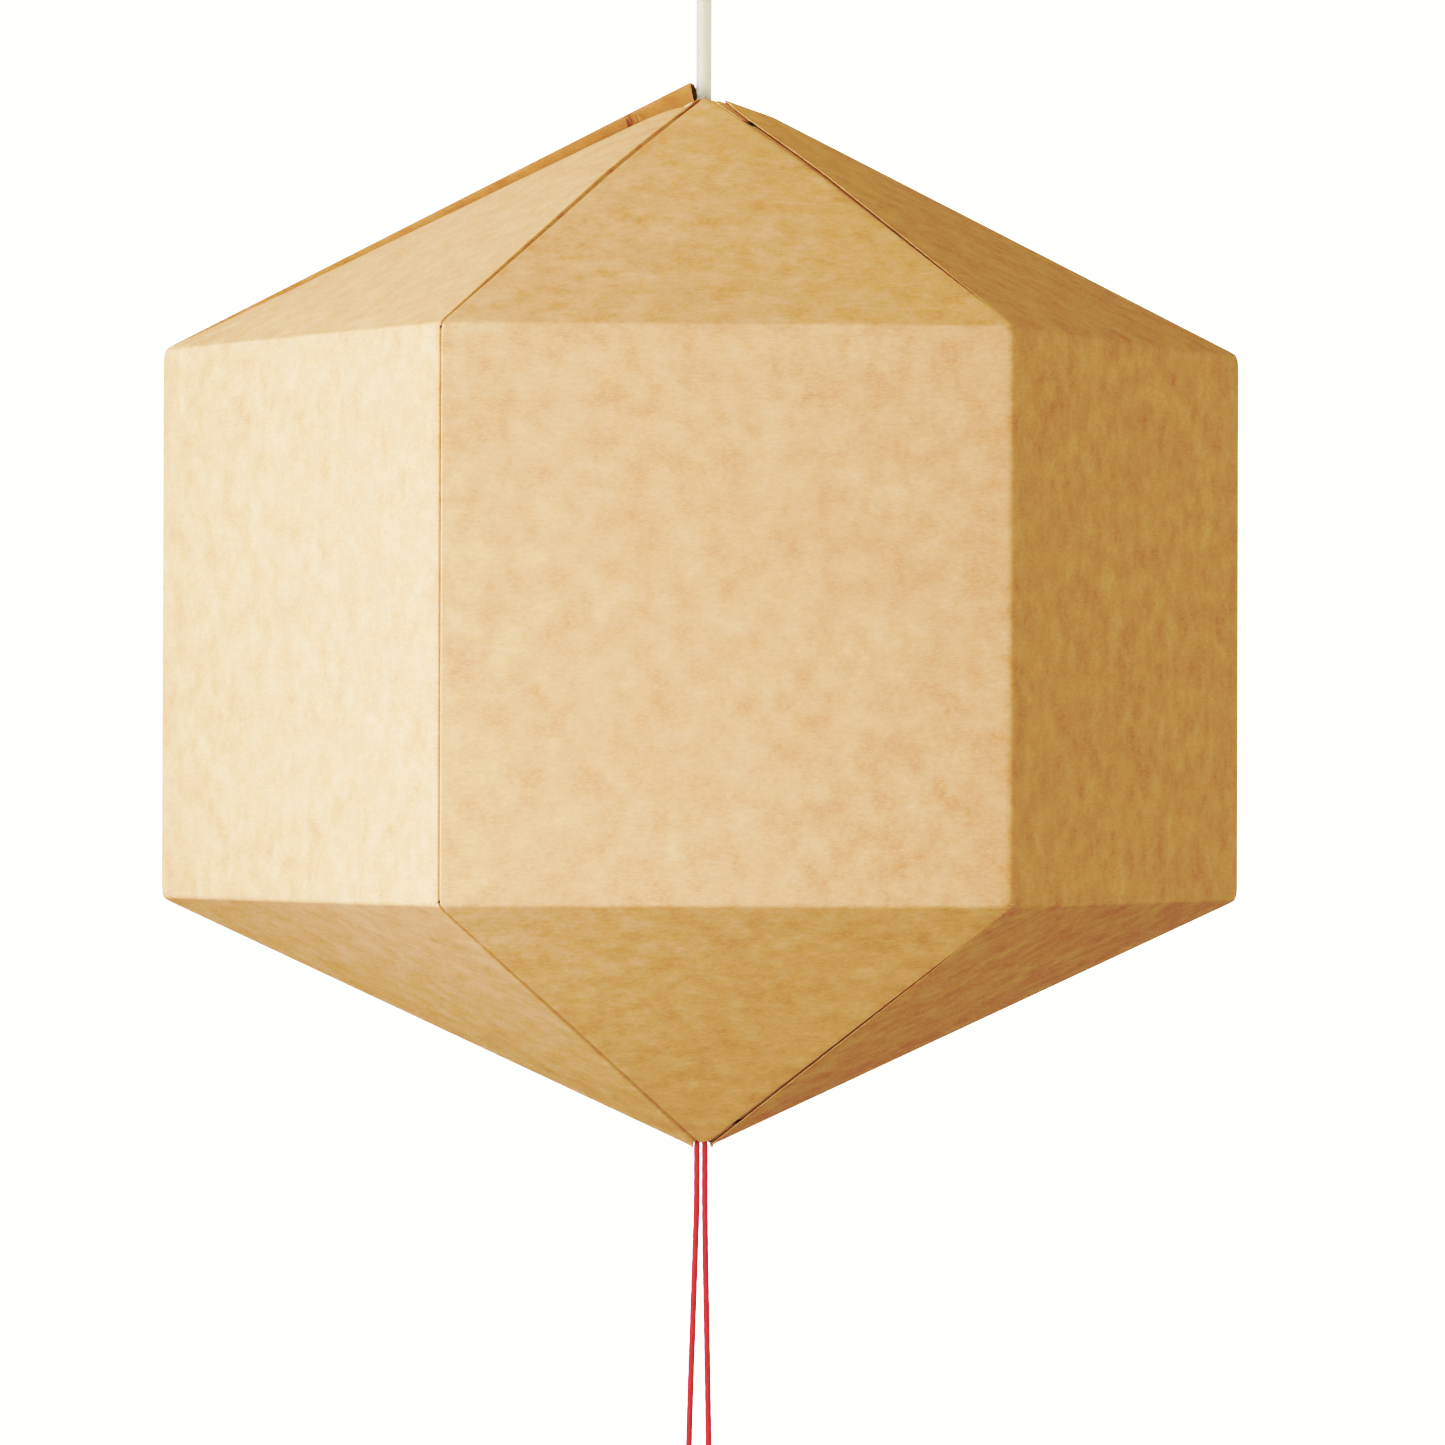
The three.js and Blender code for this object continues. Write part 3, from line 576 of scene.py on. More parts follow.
def settle(points):
    """Rounds the folds, eases the twelve corners and bows the panels, as folded card does. Works on any of the card."""
    out = points.copy()
    climb = (points[:, 2] - WALL_TOP) / TOP_RISE
    off_front = np.degrees(np.abs(np.arctan2(points[:, 0], -points[:, 1])))
    near = smooth((SAG_ENDS - off_front) / SAG_FADES)
    sink = SAG * near * clamp((climb - SAG_START) / (1 - SAG_START)) ** 1.3
    aside = np.where(points[:, 0] > 0, smooth((SIDE_SAG_ENDS - off_front) / SIDE_SAG_FADES), 0)
    side_sink = SIDE_SAG * aside * clamp((climb - SIDE_SAG_START) / (1 - SIDE_SAG_START))
    out[:, 2] -= np.maximum(sink, side_sink)
    for k in range(6):
        outward, tangent = panel_axes(k)
        left, right = corner_of(k - 1), corner_of(k)
        radial = np.array([*right, 0]) / SIDE
        far = segment_distance(points, np.array([*right, WALL_BOTTOM]), np.array([*right, WALL_TOP]))
        pull = ROUNDING * CORNER_REACH * clamp(1 - far / CORNER_REACH) ** 2
        out -= pull[:, None] * radial
        across = points @ tangent / (SIDE / 2)
        deep = points @ outward - APOTHEM
        own = (np.abs(across) <= 1) & (deep > -3)
        height = (points[:, 2] - WALL_BOTTOM) / (WALL_TOP - WALL_BOTTOM)
        on_wall = own & (height > 0) & (height < 1)
        bow = WALL_BOW[k] * np.cos(across * pi / 2) * np.sin(clamp(height) * pi)
        out += np.where(on_wall, bow, 0)[:, None] * outward
        for sign, z, rise in ((1, WALL_TOP, TOP_RISE), (-1, WALL_BOTTOM, BOTTOM_DROP)):
            slope = -outward * APOTHEM + [0, 0, sign * rise]
            slope /= norm(slope)
            inward = np.array([0, 0, -sign]) + slope
            far = segment_distance(points, np.array([*left, z]), np.array([*right, z]))
            pull = ROUNDING * FOLD_REACH * clamp(1 - far / FOLD_REACH) ** 2
            out += pull[:, None] * inward
            far = norm(points - np.array([*right, z]), axis=1)
            pull = DENT * clamp(1 - far / DENT_REACH) ** 2
            out += pull[:, None] * (np.array([0, 0, -sign * 0.5]) - radial * 0.86)
            # A flap's bow, from how far a point is from each side of its triangle.
            up = sign * (points[:, 2] - z) / rise
            level = clamp(-deep / APOTHEM)
            width = np.abs(points @ tangent) / np.maximum(clamp(1 - level) * SIDE / 2, TINY)
            sector = (up > 0) & (width <= 1.0) & (points @ outward > 0)
            bow = FLAP_BOW[sign][k] * np.cos(clamp(width) * pi / 2) * np.sin(level * pi) ** 0.8
            out += np.where(sector, bow, 0)[:, None] * (np.cross(tangent, slope) * sign)
    return out


NO_PAINTED_SHADE = (999, 999)


def card_sheet(name, grid, sign=1, painted_shade_from=NO_PAINTED_SHADE):
    """A sheet of card from a grid of points on its outer face: the inner face is one thickness in, and the cut
    edges are closed. sign is -1 if the grid runs the other way round. From the given row and column on, its
    outer face takes the darker card: painted shade for the tab, which lies in the shadow of the leaf over it."""
    rows, cols, _ = grid.shape
    outer = settle(grid.reshape(-1, 3)).reshape(grid.shape)
    normal = np.cross(np.gradient(outer, axis=1), np.gradient(outer, axis=0)) * sign
    normal /= np.maximum(norm(normal, axis=2), 1e-9)[:, :, None]
    points = [*outer.reshape(-1, 3), *(outer - normal * CARD).reshape(-1, 3)]
    base = rows * cols
    faces, which = [], []
    for i in range(rows - 1):
        for j in range(cols - 1):
            corner = i * cols + j
            quad = (corner, corner + 1, corner + cols + 1, corner + cols)[::sign]
            faces += [quad, tuple(base + v for v in reversed(quad))]
            # Faces from the given row and column on take material 2, the darker card: painted shade on the tab.
            which += [2, 0] if i >= painted_shade_from[0] and j >= painted_shade_from[1] else [0, 0]
    rim = list(range(cols))
    rim += [i * cols + cols - 1 for i in range(1, rows)]
    rim += [(rows - 1) * cols + j for j in range(cols - 2, -1, -1)]
    rim += [i * cols for i in range(rows - 2, 0, -1)]
    for a, b in zip(rim, rim[1:] + rim[:1]):
        faces.append((b, a, base + a, base + b) if sign > 0 else (a, b, base + b, base + a))
        which.append(1)
    return finish_mesh(name, points, faces, ["kraft_card", "kraft_cut_edge", "kraft_tab_painted_shade"], which, sharp=50)


def end_heavy(count):
    """Shares from 0 to 1, closer together at both ends."""
    return (1 - np.cos(np.pi * np.linspace(0, 1, count))) / 2


def wall_point(k, depth, along):
    """On wall k, this deep, this far from its left-hand corner."""
    outward, tangent = panel_axes(k)
    return ((APOTHEM - depth) * outward + (along - SIDE / 2) * tangent)[:2]


def half_shell(name, first, node):
    """Three wall panels from the left edge of the first, and the glue tab under the panel after them."""
    row = [wall_point(first, depth, SETBACK + along) for depth, along in (*EDGE, (0, LIP))]
    for step in range(3):
        start = SETBACK + LIP if step == 0 else 0
        shares = end_heavy(44)[1:] if step < 2 else end_heavy(44)[1:-1]
        for share in shares:
            row.append(wall_point(first + step, 0, start + (SIDE - start) * share))
    corner_in = wall_point(first + 3, 0, 0)
    for share, depth in ((0.25, 0.04), (0.6, 0.22), (1.0, 0.55), (1.5, 0.82), (2.2, TAB_DEPTH)):
        row.append(wall_point(first + 3, depth + 0.05, share))
    row.insert(-5, corner_in)
    for along in (3.5, 5, 7, 9, 11, TAB_WIDTH):
        row.append(wall_point(first + 3, TAB_DEPTH, along))
    row = np.array(row)
    height = WALL_TOP - WALL_BOTTOM - 2 * STRIP
    levels = WALL_BOTTOM + STRIP + height * end_heavy(40)
    grid = np.zeros((len(levels), len(row), 3))
    grid[:, :, :2] = row[None]
    grid[:, :, 2] = levels[:, None]
    placed(card_sheet(name, grid), node)


half_shell("card_shell_front", 0, "shell_front")
half_shell("card_shell_back", 3, "shell_back")


class Face:
    """One face of the upper (sign 1) or lower (sign -1) pyramid: x along its crease, y towards the tip."""

    def __init__(self, k, sign):
        self.sign = sign
        rise, crease_z = (TOP_RISE, WALL_TOP) if sign > 0 else (BOTTOM_DROP, WALL_BOTTOM)
        self.outward, self.u = panel_axes(k)
        self.origin = self.outward * APOTHEM + [0, 0, crease_z]
        slope = -self.outward * APOTHEM + [0, 0, sign * rise]
        self.length = norm(slope)
        self.v = slope / self.length
        self.n = np.cross(self.u, self.v) * sign
        self.seam = hypot(SIDE, rise)
        self.along_x = SIDE / 2 / self.seam
        self.along_y = self.length / self.seam

    def at(self, x, y, lift=0.0):
        if y < 0:
            return self.origin + x * self.u + np.array([0, 0, self.sign * y]) + lift * self.outward
        return self.origin + x * self.u + y * self.v + lift * self.n

    def from_seam(self, along, into, lift=0.0):
        """A point this far up the left-hand seam and this far in from it."""
        x = -SIDE / 2 + along * self.along_x + into * self.along_y
        return self.at(x, along * self.along_y - into * self.along_x, lift)


def through(values, share):
    """A smooth value through three: at the corner, midway and at the tip."""
    a, b, c = values
    return a * (1 - share) * (1 - 2 * share) + 4 * b * share * (1 - share) + c * share * (2 * share - 1)


def tab_width(along, seam, slot_from_apex):
    full = min(TAB_WIDTH, TAB_TAPER * along) if along > TAB_START else 1.2 + 0.84 * along / TAB_START
    tab_end = seam - slot_from_apex + TAB_PAST_SLOT
    if along > tab_end - TAB_WIDTH:
        full = min(full, max(1.6, tab_end - along))
    return full


def flap_piece(k, sign):
    side = "top" if sign > 0 else "bottom"
    body = f"{side}_flap_{PANELS[k]}"
    face, after = Face(k, sign), Face((k + 1) % 6, sign)
    tip_y = face.length * (1 - OPENINGS[sign][k] / APOTHEM)
    seam = face.seam
    ridge_tip, own_setbacks, _, _, step_tip, depth_tip = SEAMS[sign][k]
    _, setbacks, edge_tip, edge_reach, _, _ = SEAMS[sign][k - 1]
    slot_at = seam - SLOT_FROM_APEX[sign]
    slot_y = slot_at * face.along_y
    left_is_glued = (k - 1) % 6 in GLUED
    tab_shows = ridge_tip > 1  # only past the proud fold of the flap at the back left
    ridge_reach = 16 if ridge_tip > 0 else 3
    # The rows, from the strip in the wall to the tip: closest together at the crease and the slot.
    ys = [-STRIP, -1.2, -0.8, -0.4, 0, 0.4, 0.8, 1.2, 1.7, 2.4, 3.3, 4.5, 6, 8, 10, 13]
    ys += list(np.linspace(17, slot_y - 5, 32))
    ys += list(np.linspace(slot_y - 3.4, slot_y + 3.4, 21))
    ys += list(np.linspace(slot_y + 5, tip_y - 1.2, 12)) + [tip_y - 0.6, tip_y - 0.2, tip_y]
    leaf_shares = end_heavy(30)
    grid = []
    for y in ys:
        along = max(0.0, y / face.along_y)
        share = min(1.0, along / seam)
        ridge = ridge_tip * share
        step_width = 1.1 + (step_tip - 1.1) * share
        tab_depth = TAB_DEPTH + (depth_tip - TAB_DEPTH) * share
        edge_lift = edge_tip * share**0.7 if y > 0 else 0
        slant = max(y, 0) * face.along_x / face.along_y
        gap = start = SETBACK if left_is_glued else 0.0
        if y > 0:
            gap = through(setbacks, share) / face.along_y
        if 0 < y < 4:
            gap = start + (max(gap, start * 0.9) - start) * smooth(y / 4)
        left = -SIDE / 2 + slant + gap
        right = SIDE / 2 - slant
        # The tip's corners are rounded.
        near_tip = clamp((y - (tip_y - 1.2)) / 1.2)
        left += 0.7 * near_tip**2
        right -= 0.7 * near_tip**2
        rolled = y > 0 or left_is_glued
        row = [face.at(left + step, y, edge_lift - (depth if rolled else 0)) for depth, step in EDGE]
        width = right - left - LIP
        for s in leaf_shares:
            x = left + LIP + width * s
            lift = edge_lift * clamp(1 - (x - left) / edge_reach) ** 2
            row.append(face.at(x, y, lift + ridge * clamp(1 - (right - x) / ridge_reach) ** 2))
        if y > 0:
            wide = max(tab_width(along, seam, SLOT_FROM_APEX[sign]), 1.3 * through(own_setbacks, share))
            wide *= 1 - 0.4 * near_tip
            if tab_shows:
                wide *= 1 - 0.85 * smooth((along - seam + 9) / 5)
            # Within the half-round slot, the tab is cut down.
            from_slot = along - slot_at
            slot_reach = sqrt(max(0.0, SLOT_RADIUS**2 - from_slot**2)) if k in SLOTTED else 0.0
            slot_from = min(through(own_setbacks, share), 3.6) - slot_reach * 0.95
            for d in (0.25, 0.6, 1.1, 1.8, 2.6, 3.5, 4.5, 5.5, 6.6, 8, 13):
                into = min(d, wide * (0.8 + 0.2 * d / 13)) if d > 1.1 else min(d, wide * d)
                depth = ridge - (ridge + tab_depth) * smooth(0.5 * into / step_width) * 2
                depth = max(depth, -tab_depth)
                if slot_reach > 0.4 and into > slot_from:
                    depth -= SLOT_DEPTH
                row.append(after.from_seam(along, into, depth))
        else:
            # There is no tab in the wall, so its columns close up under the corner.
            for d in (0.05, 0.1, 0.15, 0.2, 0.25, 0.3, 0.35, 0.4, 0.45, 0.5, 0.55):
                row.append(face.at(right, y, -d))
        grid.append(row)
    # On the back-left flap, the tab band from here on takes the darker card: painted shade.
    painted_shade_from = (ys.index(4.5), len(EDGE) + len(leaf_shares)) if tab_shows else NO_PAINTED_SHADE
    made = card_sheet(f"card_{body}", np.array(grid), sign, painted_shade_from)
    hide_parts(body)
    start, end = face.at(0, -1.3) * MM, face.at(0, 1.3) * MM
    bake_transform(made)


for k in range(6):
    for sign in (1, -1):
        flap_piece(k, sign)


# ---- Fittings: helpers ----
def extent(node):
    low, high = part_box(node)
    return low / MM, high / MM


def from_height(z, *points):
    """Profile points whose heights are counted from z."""
    return [(r, z + up) for r, up in points]


def at(x, y, z, turn=0.0, axis="X"):
    return Matrix.Translation((x, y, z)) @ Matrix.Rotation(turn, 4, axis)


def moved(parts, matrix):
    points, faces = parts
    return [tuple(matrix @ Vector(p)) for p in points], faces


def box_parts(centre, size):
    points = []
    for dz in (-0.5, 0.5):
        for dx, dy in ((-0.5, -0.5), (0.5, -0.5), (0.5, 0.5), (-0.5, 0.5)):
            points.append(tuple(c + d * s for c, d, s in zip(centre, (dx, dy, dz), size)))
    faces = [(3, 2, 1, 0), (4, 5, 6, 7), (0, 1, 5, 4), (1, 2, 6, 5), (2, 3, 7, 6), (3, 0, 4, 7)]
    return points, faces


def slot_parts(x, y, half, radius, low, high, steps=16):
    """A prism with round ends, along Y. With half = 0 it is a round rod."""
    outline = []
    for i in range(2 * steps):
        a = pi * (i + 0.5) / steps
        outline.append((x + radius * cos(a), y + radius * sin(a) + (half if a < pi else -half)))
    n = len(outline)
    points = [(*p, low) for p in outline] + [(*p, high) for p in outline]
    faces = [tuple(reversed(range(n))), tuple(range(n, 2 * n))]
    faces += [(i, (i + 1) % n, n + (i + 1) % n, n + i) for i in range(n)]
    return points, faces


def carve(made, tools):
    """Cuts shapes that don't touch each other out of a mesh."""
    tool = tidy(finish_mesh(made.name + "_tool", *weld(tools), []))
    tool.data.materials.append(made.data.materials[0])
    cut = made.modifiers.new("cut", "BOOLEAN")
    cut.operation = "DIFFERENCE"
    cut.solver = "EXACT"
    cut.object = tool
    whole = bpy.context.evaluated_depsgraph_get()
    mesh = bpy.data.meshes.new_from_object(made.evaluated_get(whole))
    made.modifiers.clear()
    made.data = mesh
    bpy.data.objects.remove(tool)
    shade(mesh)
    return made


def bevelled(made, width):
    bm = bmesh.new()
    bm.from_mesh(made.data)
    edges = [e for e in bm.edges if len(e.link_faces) == 2 and e.calc_face_angle(0) > 0.6]
    bmesh.ops.bevel(bm, geom=edges, offset=width * MM, segments=3, profile=0.5, affect="EDGES", clamp_overlap=True)
    bm.to_mesh(made.data)
    bm.free()
    shade(made.data)
    return made


def carved(name, parts, tools, node):
    """A piece with shapes cut out of it."""
    return placed(carve(solid(name, parts, slot_of[node]), tools), node)


def wave(angle, z, pitch):
    """0 to 1 and back along a right-hand thread."""
    return 0.5 - 0.5 * cos(ROUND * z / pitch - angle)


def flutes(angle, count, power):
    """0 to 1 and back, this many times round."""
    return (0.5 - 0.5 * cos(count * angle)) ** power


def threaded(radius, start, end, pitch, per_turn=10):
    """Profile points down a threaded length, close enough together to show the thread."""
    count = max(2, int(abs(end - start) / pitch * per_turn))
    return [(radius, z) for z in np.linspace(start, end, count)]


SCREW_PITCH = 0.8
SCREW_CUT = (0.75, 0.9)  # the width and depth of the cut in a screw's head; half of the depth is in the head


def screw(name, place, head, height, shank, length, node):
    """A slotted screw with its head's face at the place's origin and its shank along -Z."""
    profile = [(0, 0), (0.6 * head, -0.02), (0.86 * head, -0.12 * height), (head, -0.4 * height)]
    profile += [(head, -0.95 * height), (0.96 * head, -height), (shank, -height)]
    profile += threaded(shank, -height - 0.1, -height - length + 0.5, SCREW_PITCH, 8)
    profile += [(0.7 * shank, -height - length), (0, -height - length)]

    def cut_thread(angle, r, z):
        return r - (0.22 * shank * wave(angle, z, SCREW_PITCH) if z < -height - 0.05 else 0)

    parts = moved(lathe_parts(profile, 40, cut_thread), place)
    cut = moved(box_parts((0, 0, 0), (2 * head + 2, *SCREW_CUT)), place)
    return carved(name, parts, [cut], node)


def core(name, route, node):
    return fitted(name, tube_parts(curve_through(route, 44)[0], 1.1, 16), node)


POLES = (("live", 1), ("neutral", -1))

# ---- Ceiling rose ----
low, high = extent("rose_base_plate")
BASE_R = high.x
base_profile = [
    (0, 0), (BASE_R - 0.5, 0), (BASE_R, -0.6), (BASE_R, low.z + 0.4), (BASE_R - 0.5, low.z),
    (BASE_R - 1.7, low.z), (BASE_R - 2, low.z + 0.4), (BASE_R - 2, -3.4), (BASE_R - 2.6, -3),
    (34, -3), (33.6, -4), (32.4, -4), (32, -3), (0, -3),
]
holes = [slot_parts(x, 0, 4, 2.4, -8, 4) for x in (-30, 30)] + [slot_parts(0, 26, 0, 7, -8, 4)]
holes += [slot_parts(x, y, 0, 1.3, -8, 4, 8) for x in (-20, 20) for y in (-22, 22)]
carved("rose_base_moulded", lathe_parts(base_profile, 96), holes, "rose_base_plate")

low, high = extent("rose_cover")
COVER_R, rim_z = high.x, high.z
cover_profile = from_height(
    low.z, (5, 0), (9.8, 0), (10.2, 0.35), (11, 0.35), (11.4, 0), (20, 0), (25, 0.35), (29, 0.95), (33, 2),
    (36.5, 3.7), (39.5, 5.7), (42, 8), (43.9, 11), (45.3, 13.8), (46.5, 16.6), (47.2, 20), (47.7, 23.4),
    (47.3, 23.8), (47.35, 24.3), (48, 24.7),
)
cover_profile += [(COVER_R, rim_z), (COVER_R - 1.8, rim_z)]
cover_profile += from_height(low.z, (45.4, 20), (44.7, 16), (40.2, 9.2), (32.1, 3.8), (20, 1.8), (5, 1.8))
turned("rose_cover_moulded", cover_profile, "rose_cover", 0.3, 120)
screw_x = extent("rose_cover_screw_right")[1].x
for side, turn in (("right", 1), ("left", -1)):
    place = at(turn * screw_x, 0, -8, turn * pi / 2, "Y")
    screw(f"cover_screw_{side}", place, 3, 1.6, 1.5, 6.6, f"rose_cover_screw_{side}")

low, high = extent("rose_terminal_block")
block = bevelled(solid("terminal_block_moulded", box_parts((low + high) / 2, high - low), "grey_plastic"), 0.7)
poles = [slot_parts(x, 0, 0, 2.4, low.z - 2, low.z + 7.2) for x in (-6, 6)]
holes = [moved(slot_parts(x, 0, 0, 1.6, 3.4, 12), at(0, 0, -9.6, -pi / 2)) for x in (-6, 6)]
holes += [slot_parts(x, 0, 0, 1.5, low.z - 2, high.z + 2) for x in (-11, 11)]
for tools in (poles, holes, [box_parts((0, 0, low.z), (1.2, 20, 3.6))]):
    carve(block, tools)
placed(block, "rose_terminal_block")
for pole, _ in POLES:
    node = f"rose_terminal_screw_{pole}"
    low, high = extent(node)
    place = at((low.x + high.x) / 2, 0, low.z, pi)
    screw(f"terminal_screw_{pole}", place, 2, 1.4, 1.7, 3.6, node)

GRIP_SCREW_Z = -31.5
low, high = extent("rose_cord_grip")
grip_profile = from_height(low.z, (5.2, 0), (6.9, 0), (7.3, 0.9), (7.5, 2), (8.6, 5.4))
grip_profile += [(9.2, high.z - 2.6), (9.5, high.z), (3.4, high.z), (3.4, -33.6), (5.2, -34.4)]


def grip_flutes(angle, r, z):
    return r - (0.35 * flutes(angle, 24, 2) if r > 7.4 and z < -29 else 0)


grip = lathe_parts(eased(grip_profile, 0.35), 144, grip_flutes)
hole = moved(slot_parts(0, 0, 0, 1.75, 4.4, 14), at(0, 0, GRIP_SCREW_Z, pi / 2))
carved("cord_grip_moulded", grip, [hole], "rose_cord_grip")
place = at(0, extent("rose_grip_screw")[0].y, GRIP_SCREW_Z, pi / 2)
screw("grip_screw", place, 2.4, 1.6, 1.4, 4.8, "rose_grip_screw")
low, high = extent("cable_end_in_rose")
end_profile = [(0, low.z), (3.1, low.z)]
end_profile += from_height(high.z, (3.1, -2.4), (2.9, -2.2), (2.9, -1.9), (3.1, -1.7), (3.1, 0), (0, 0))
turned("cable_end_sheath", end_profile, "cable_end_in_rose", 0.3, 40)
for pole, side in POLES:
    top = extent(f"rose_core_{pole}")[1].z
    route = [(side * 1.5, 0, -21.7), (side * 2.5, 0, -19), (side * 5.6, 0, -16.3), (side * 6, 0, top)]
    core(f"rose_wire_{pole}", route, f"rose_core_{pole}")

# ---- Bush and sleeve ----
low, high = extent("cable_bush")
bush_profile = [
    (3.9, low.z), (4.6, low.z), (4.6, -36.25), (4.4, -36.1), (4.4, -35.9), (4.6, -35.75), (4.6, high.z),
    (3.9, high.z),
]
turned("cable_bush_ring", bush_profile, "cable_bush", 0.2, 48)

RIBS = 8
RIB_PITCH = 1.62
low, high = extent("cable_sleeve")
sleeve_profile = from_height(low.z, (3.4, 0), (3.95, 0), (4.1, 0.6))
for i in range(RIBS):
    radius = 4.1 + 0.9 * (i + 0.5) / RIBS
    rib = ((radius, 0), (radius - 0.55, 0.3), (radius - 0.55, 0.75), (radius + 0.02, 1.0))
    sleeve_profile += from_height(low.z + 1.6 + i * RIB_PITCH, *rib)
sleeve_profile += from_height(high.z, (5, -2.6), (4.9, -0.6), (4.6, 0), (3.4, 0))
turned("cable_sleeve_ribbed", sleeve_profile, "cable_sleeve", 0.16, 64)

# ---- Lampholder ----
cap_low, cap_high = extent("lampholder_cap")
CAP_R = cap_high.x
SHOULDER = cap_high.z - 0.58 * 14
cap_profile = from_height(cap_low.z, (CAP_R - 2, 0), (CAP_R - 0.2, 0), (CAP_R, 1.2), (CAP_R, 3))
cap_profile += [(CAP_R, z) for z in np.linspace(cap_low.z + 4, SHOULDER - 8, 8)]
cap_profile += from_height(SHOULDER, (CAP_R, -6), (CAP_R - 0.3, -4), (20, 0))
cap_profile += from_height(cap_high.z, (6, 0), (3.4, 0), (3.4, -5), (7, -5))
cap_profile += from_height(SHOULDER, (19, -2.4), (CAP_R - 2, -5))


def cap_flutes(angle, r, z):
    on_skirt = r > CAP_R - 0.1 and cap_low.z + 3.5 < z < SHOULDER - 7
    return r - (0.45 * flutes(angle, 48, 1.5) if on_skirt else 0)


fitted("lampholder_cap_moulded", lathe_parts(cap_profile, 288, cap_flutes), "lampholder_cap")

BODY_PITCH = 2.6
low, high = extent("lampholder_body")
RIM_TOP, RIM_R = high.z, high.x
body_profile = from_height(low.z, (14.6, 0), (18.4, 0), (18.9, 0.6))
body_profile += threaded(19.3, low.z + 1.2, high.z - 9, BODY_PITCH)
body_profile += from_height(
    high.z, (19.5, -6.6), (19.6, -5.7), (RIM_R - 0.4, -3.9), (RIM_R, -3.4), (RIM_R, -0.5), (RIM_R - 0.4, 0),
    (14.6, 0),
)


def body_thread(angle, r, z):
    if 19.2 < r < 19.4:
        return r - 0.5 * wave(angle, z, BODY_PITCH)
    return r - (0.3 * flutes(angle, 40, 1.5) if r > RIM_R - 0.1 and z > RIM_TOP - 4 else 0)


fitted("lampholder_body_moulded", lathe_parts(body_profile, 200, body_thread), "lampholder_body")

low, high = extent("lampholder_insert")
insert_profile = from_height(low.z, (0, 0), (17.2, 0), (18, 0.8))
insert_profile += from_height(high.z, (18, -3), (17.3, -2.6), (17.3, -1), (16.4, 0), (0, 0))
wells = [slot_parts(0, y, 0, 2.3, high.z - 4, high.z + 3) for y in (-11, 11)]
wells += [box_parts((0, 0, high.z), (3.4, 12, 2.4))]
carved("insert_glazed", lathe_parts(insert_profile, 96), wells, "lampholder_insert")

E27_PITCH = 3.63
shell_low, shell_high = (corner.z for corner in extent("lampholder_screw_shell"))
shell_profile = threaded(13.8, shell_low, shell_high, E27_PITCH, 12)
shell_profile += threaded(14.3, shell_high, shell_low, E27_PITCH, 12)


def shell_thread(angle, r, z):
    ends = smooth(min(z - shell_low, shell_high - z) / 3)
    return r - 0.6 * wave(angle, z, E27_PITCH) * ends


fitted("screw_shell_rolled", lathe_parts(shell_profile, 96, shell_thread), "lampholder_screw_shell")

low, high = extent("lampholder_centre_contact")
contact_profile = from_height(low.z, (0, 0), (2.2, 0), (3.4, 0.4))
contact_profile += from_height(high.z, (4, -0.5), (4, 0), (0, 0))
tongue = box_parts((0, 0, high.z - 0.25), (17, 4.6, 0.5))
turned("centre_contact_spring", contact_profile, "lampholder_centre_contact", 0.2, 48, extra=[tongue])
for pole, side in POLES:
    node = f"lampholder_terminal_{pole}"
    low, high = extent(node)
    post = bevelled(solid(f"terminal_{pole}_post", box_parts((low + high) / 2, high - low), "brass"), 0.5)
    hole = moved(slot_parts(0, 0, 0, 1.3, 6, 11.5), at(0, 0, low.z + 1.9, side * pi / 2, "Y"))
    carve(post, [hole])
    on_post = at((low.x + high.x) / 2, 0, 0)
    head = lathe_parts(from_height(high.z, (0, 0), (2.1, 0), (2.1, 0.7), (1.7, 1.1), (0, 1.15)), 32)
    screw_top = solid(f"post_{pole}_screw", moved(head, on_post), "brass")
    carve(screw_top, [moved(box_parts((0, 0, high.z + 1.1), (5, 0.7, 1)), on_post)])
    placed(screw_top, node, instead=False)
    placed(post, node)
    top = extent(f"lampholder_core_{pole}")[1].z
    route = [(side * 1.5, 0, top), (side * 2, 0, top - 3.7), (side * 5, 0, -121.8), (side * 7.6, 0, -123)]
    core(f"lampholder_wire_{pole}", route, f"lampholder_core_{pole}")

# ---- Lamp ----
low, high = extent("bulb_tip_contact")
tip_profile = from_height(low.z, (0, 0), (4.5, 0), (4.3, 0.5))
tip_profile += from_height(high.z, (3.2, -0.3), (1.6, 0), (0, 0))
turned("lamp_contact", tip_profile, "bulb_tip_contact", 0.2, 48)

low, high = extent("bulb_insulator")
vitrite = from_height(low.z, (0, 0), (10, 0), (9.7, 0.5), (8.2, 1.1), (7.9, 1.7), (6.3, 2.1))
vitrite += [(4.8, high.z), (0, high.z)]
turned("lamp_vitrite", vitrite, "bulb_insulator", 0.25, 64)

lamp_low, lamp_high = (corner.z for corner in extent("bulb_screw_cap"))
lamp_profile = from_height(lamp_low, (0, 0), (12.7, 0), (13.1, 0.5), (13.1, 2.6))
lamp_profile += threaded(13.1, lamp_low + 3, lamp_high - 3, E27_PITCH, 12)
lamp_profile += from_height(lamp_high, (12.4, -2.2), (11.4, -0.7), (10.7, 0), (0, 0))


def lamp_thread(angle, r, z):
    ends = smooth(min(z - lamp_low - 2.8, lamp_high - 2.8 - z) / 2.4)
    return r - 0.8 * wave(angle, z, E27_PITCH) * ends


fitted("lamp_cap_rolled", lathe_parts(lamp_profile, 96, lamp_thread), "bulb_screw_cap")

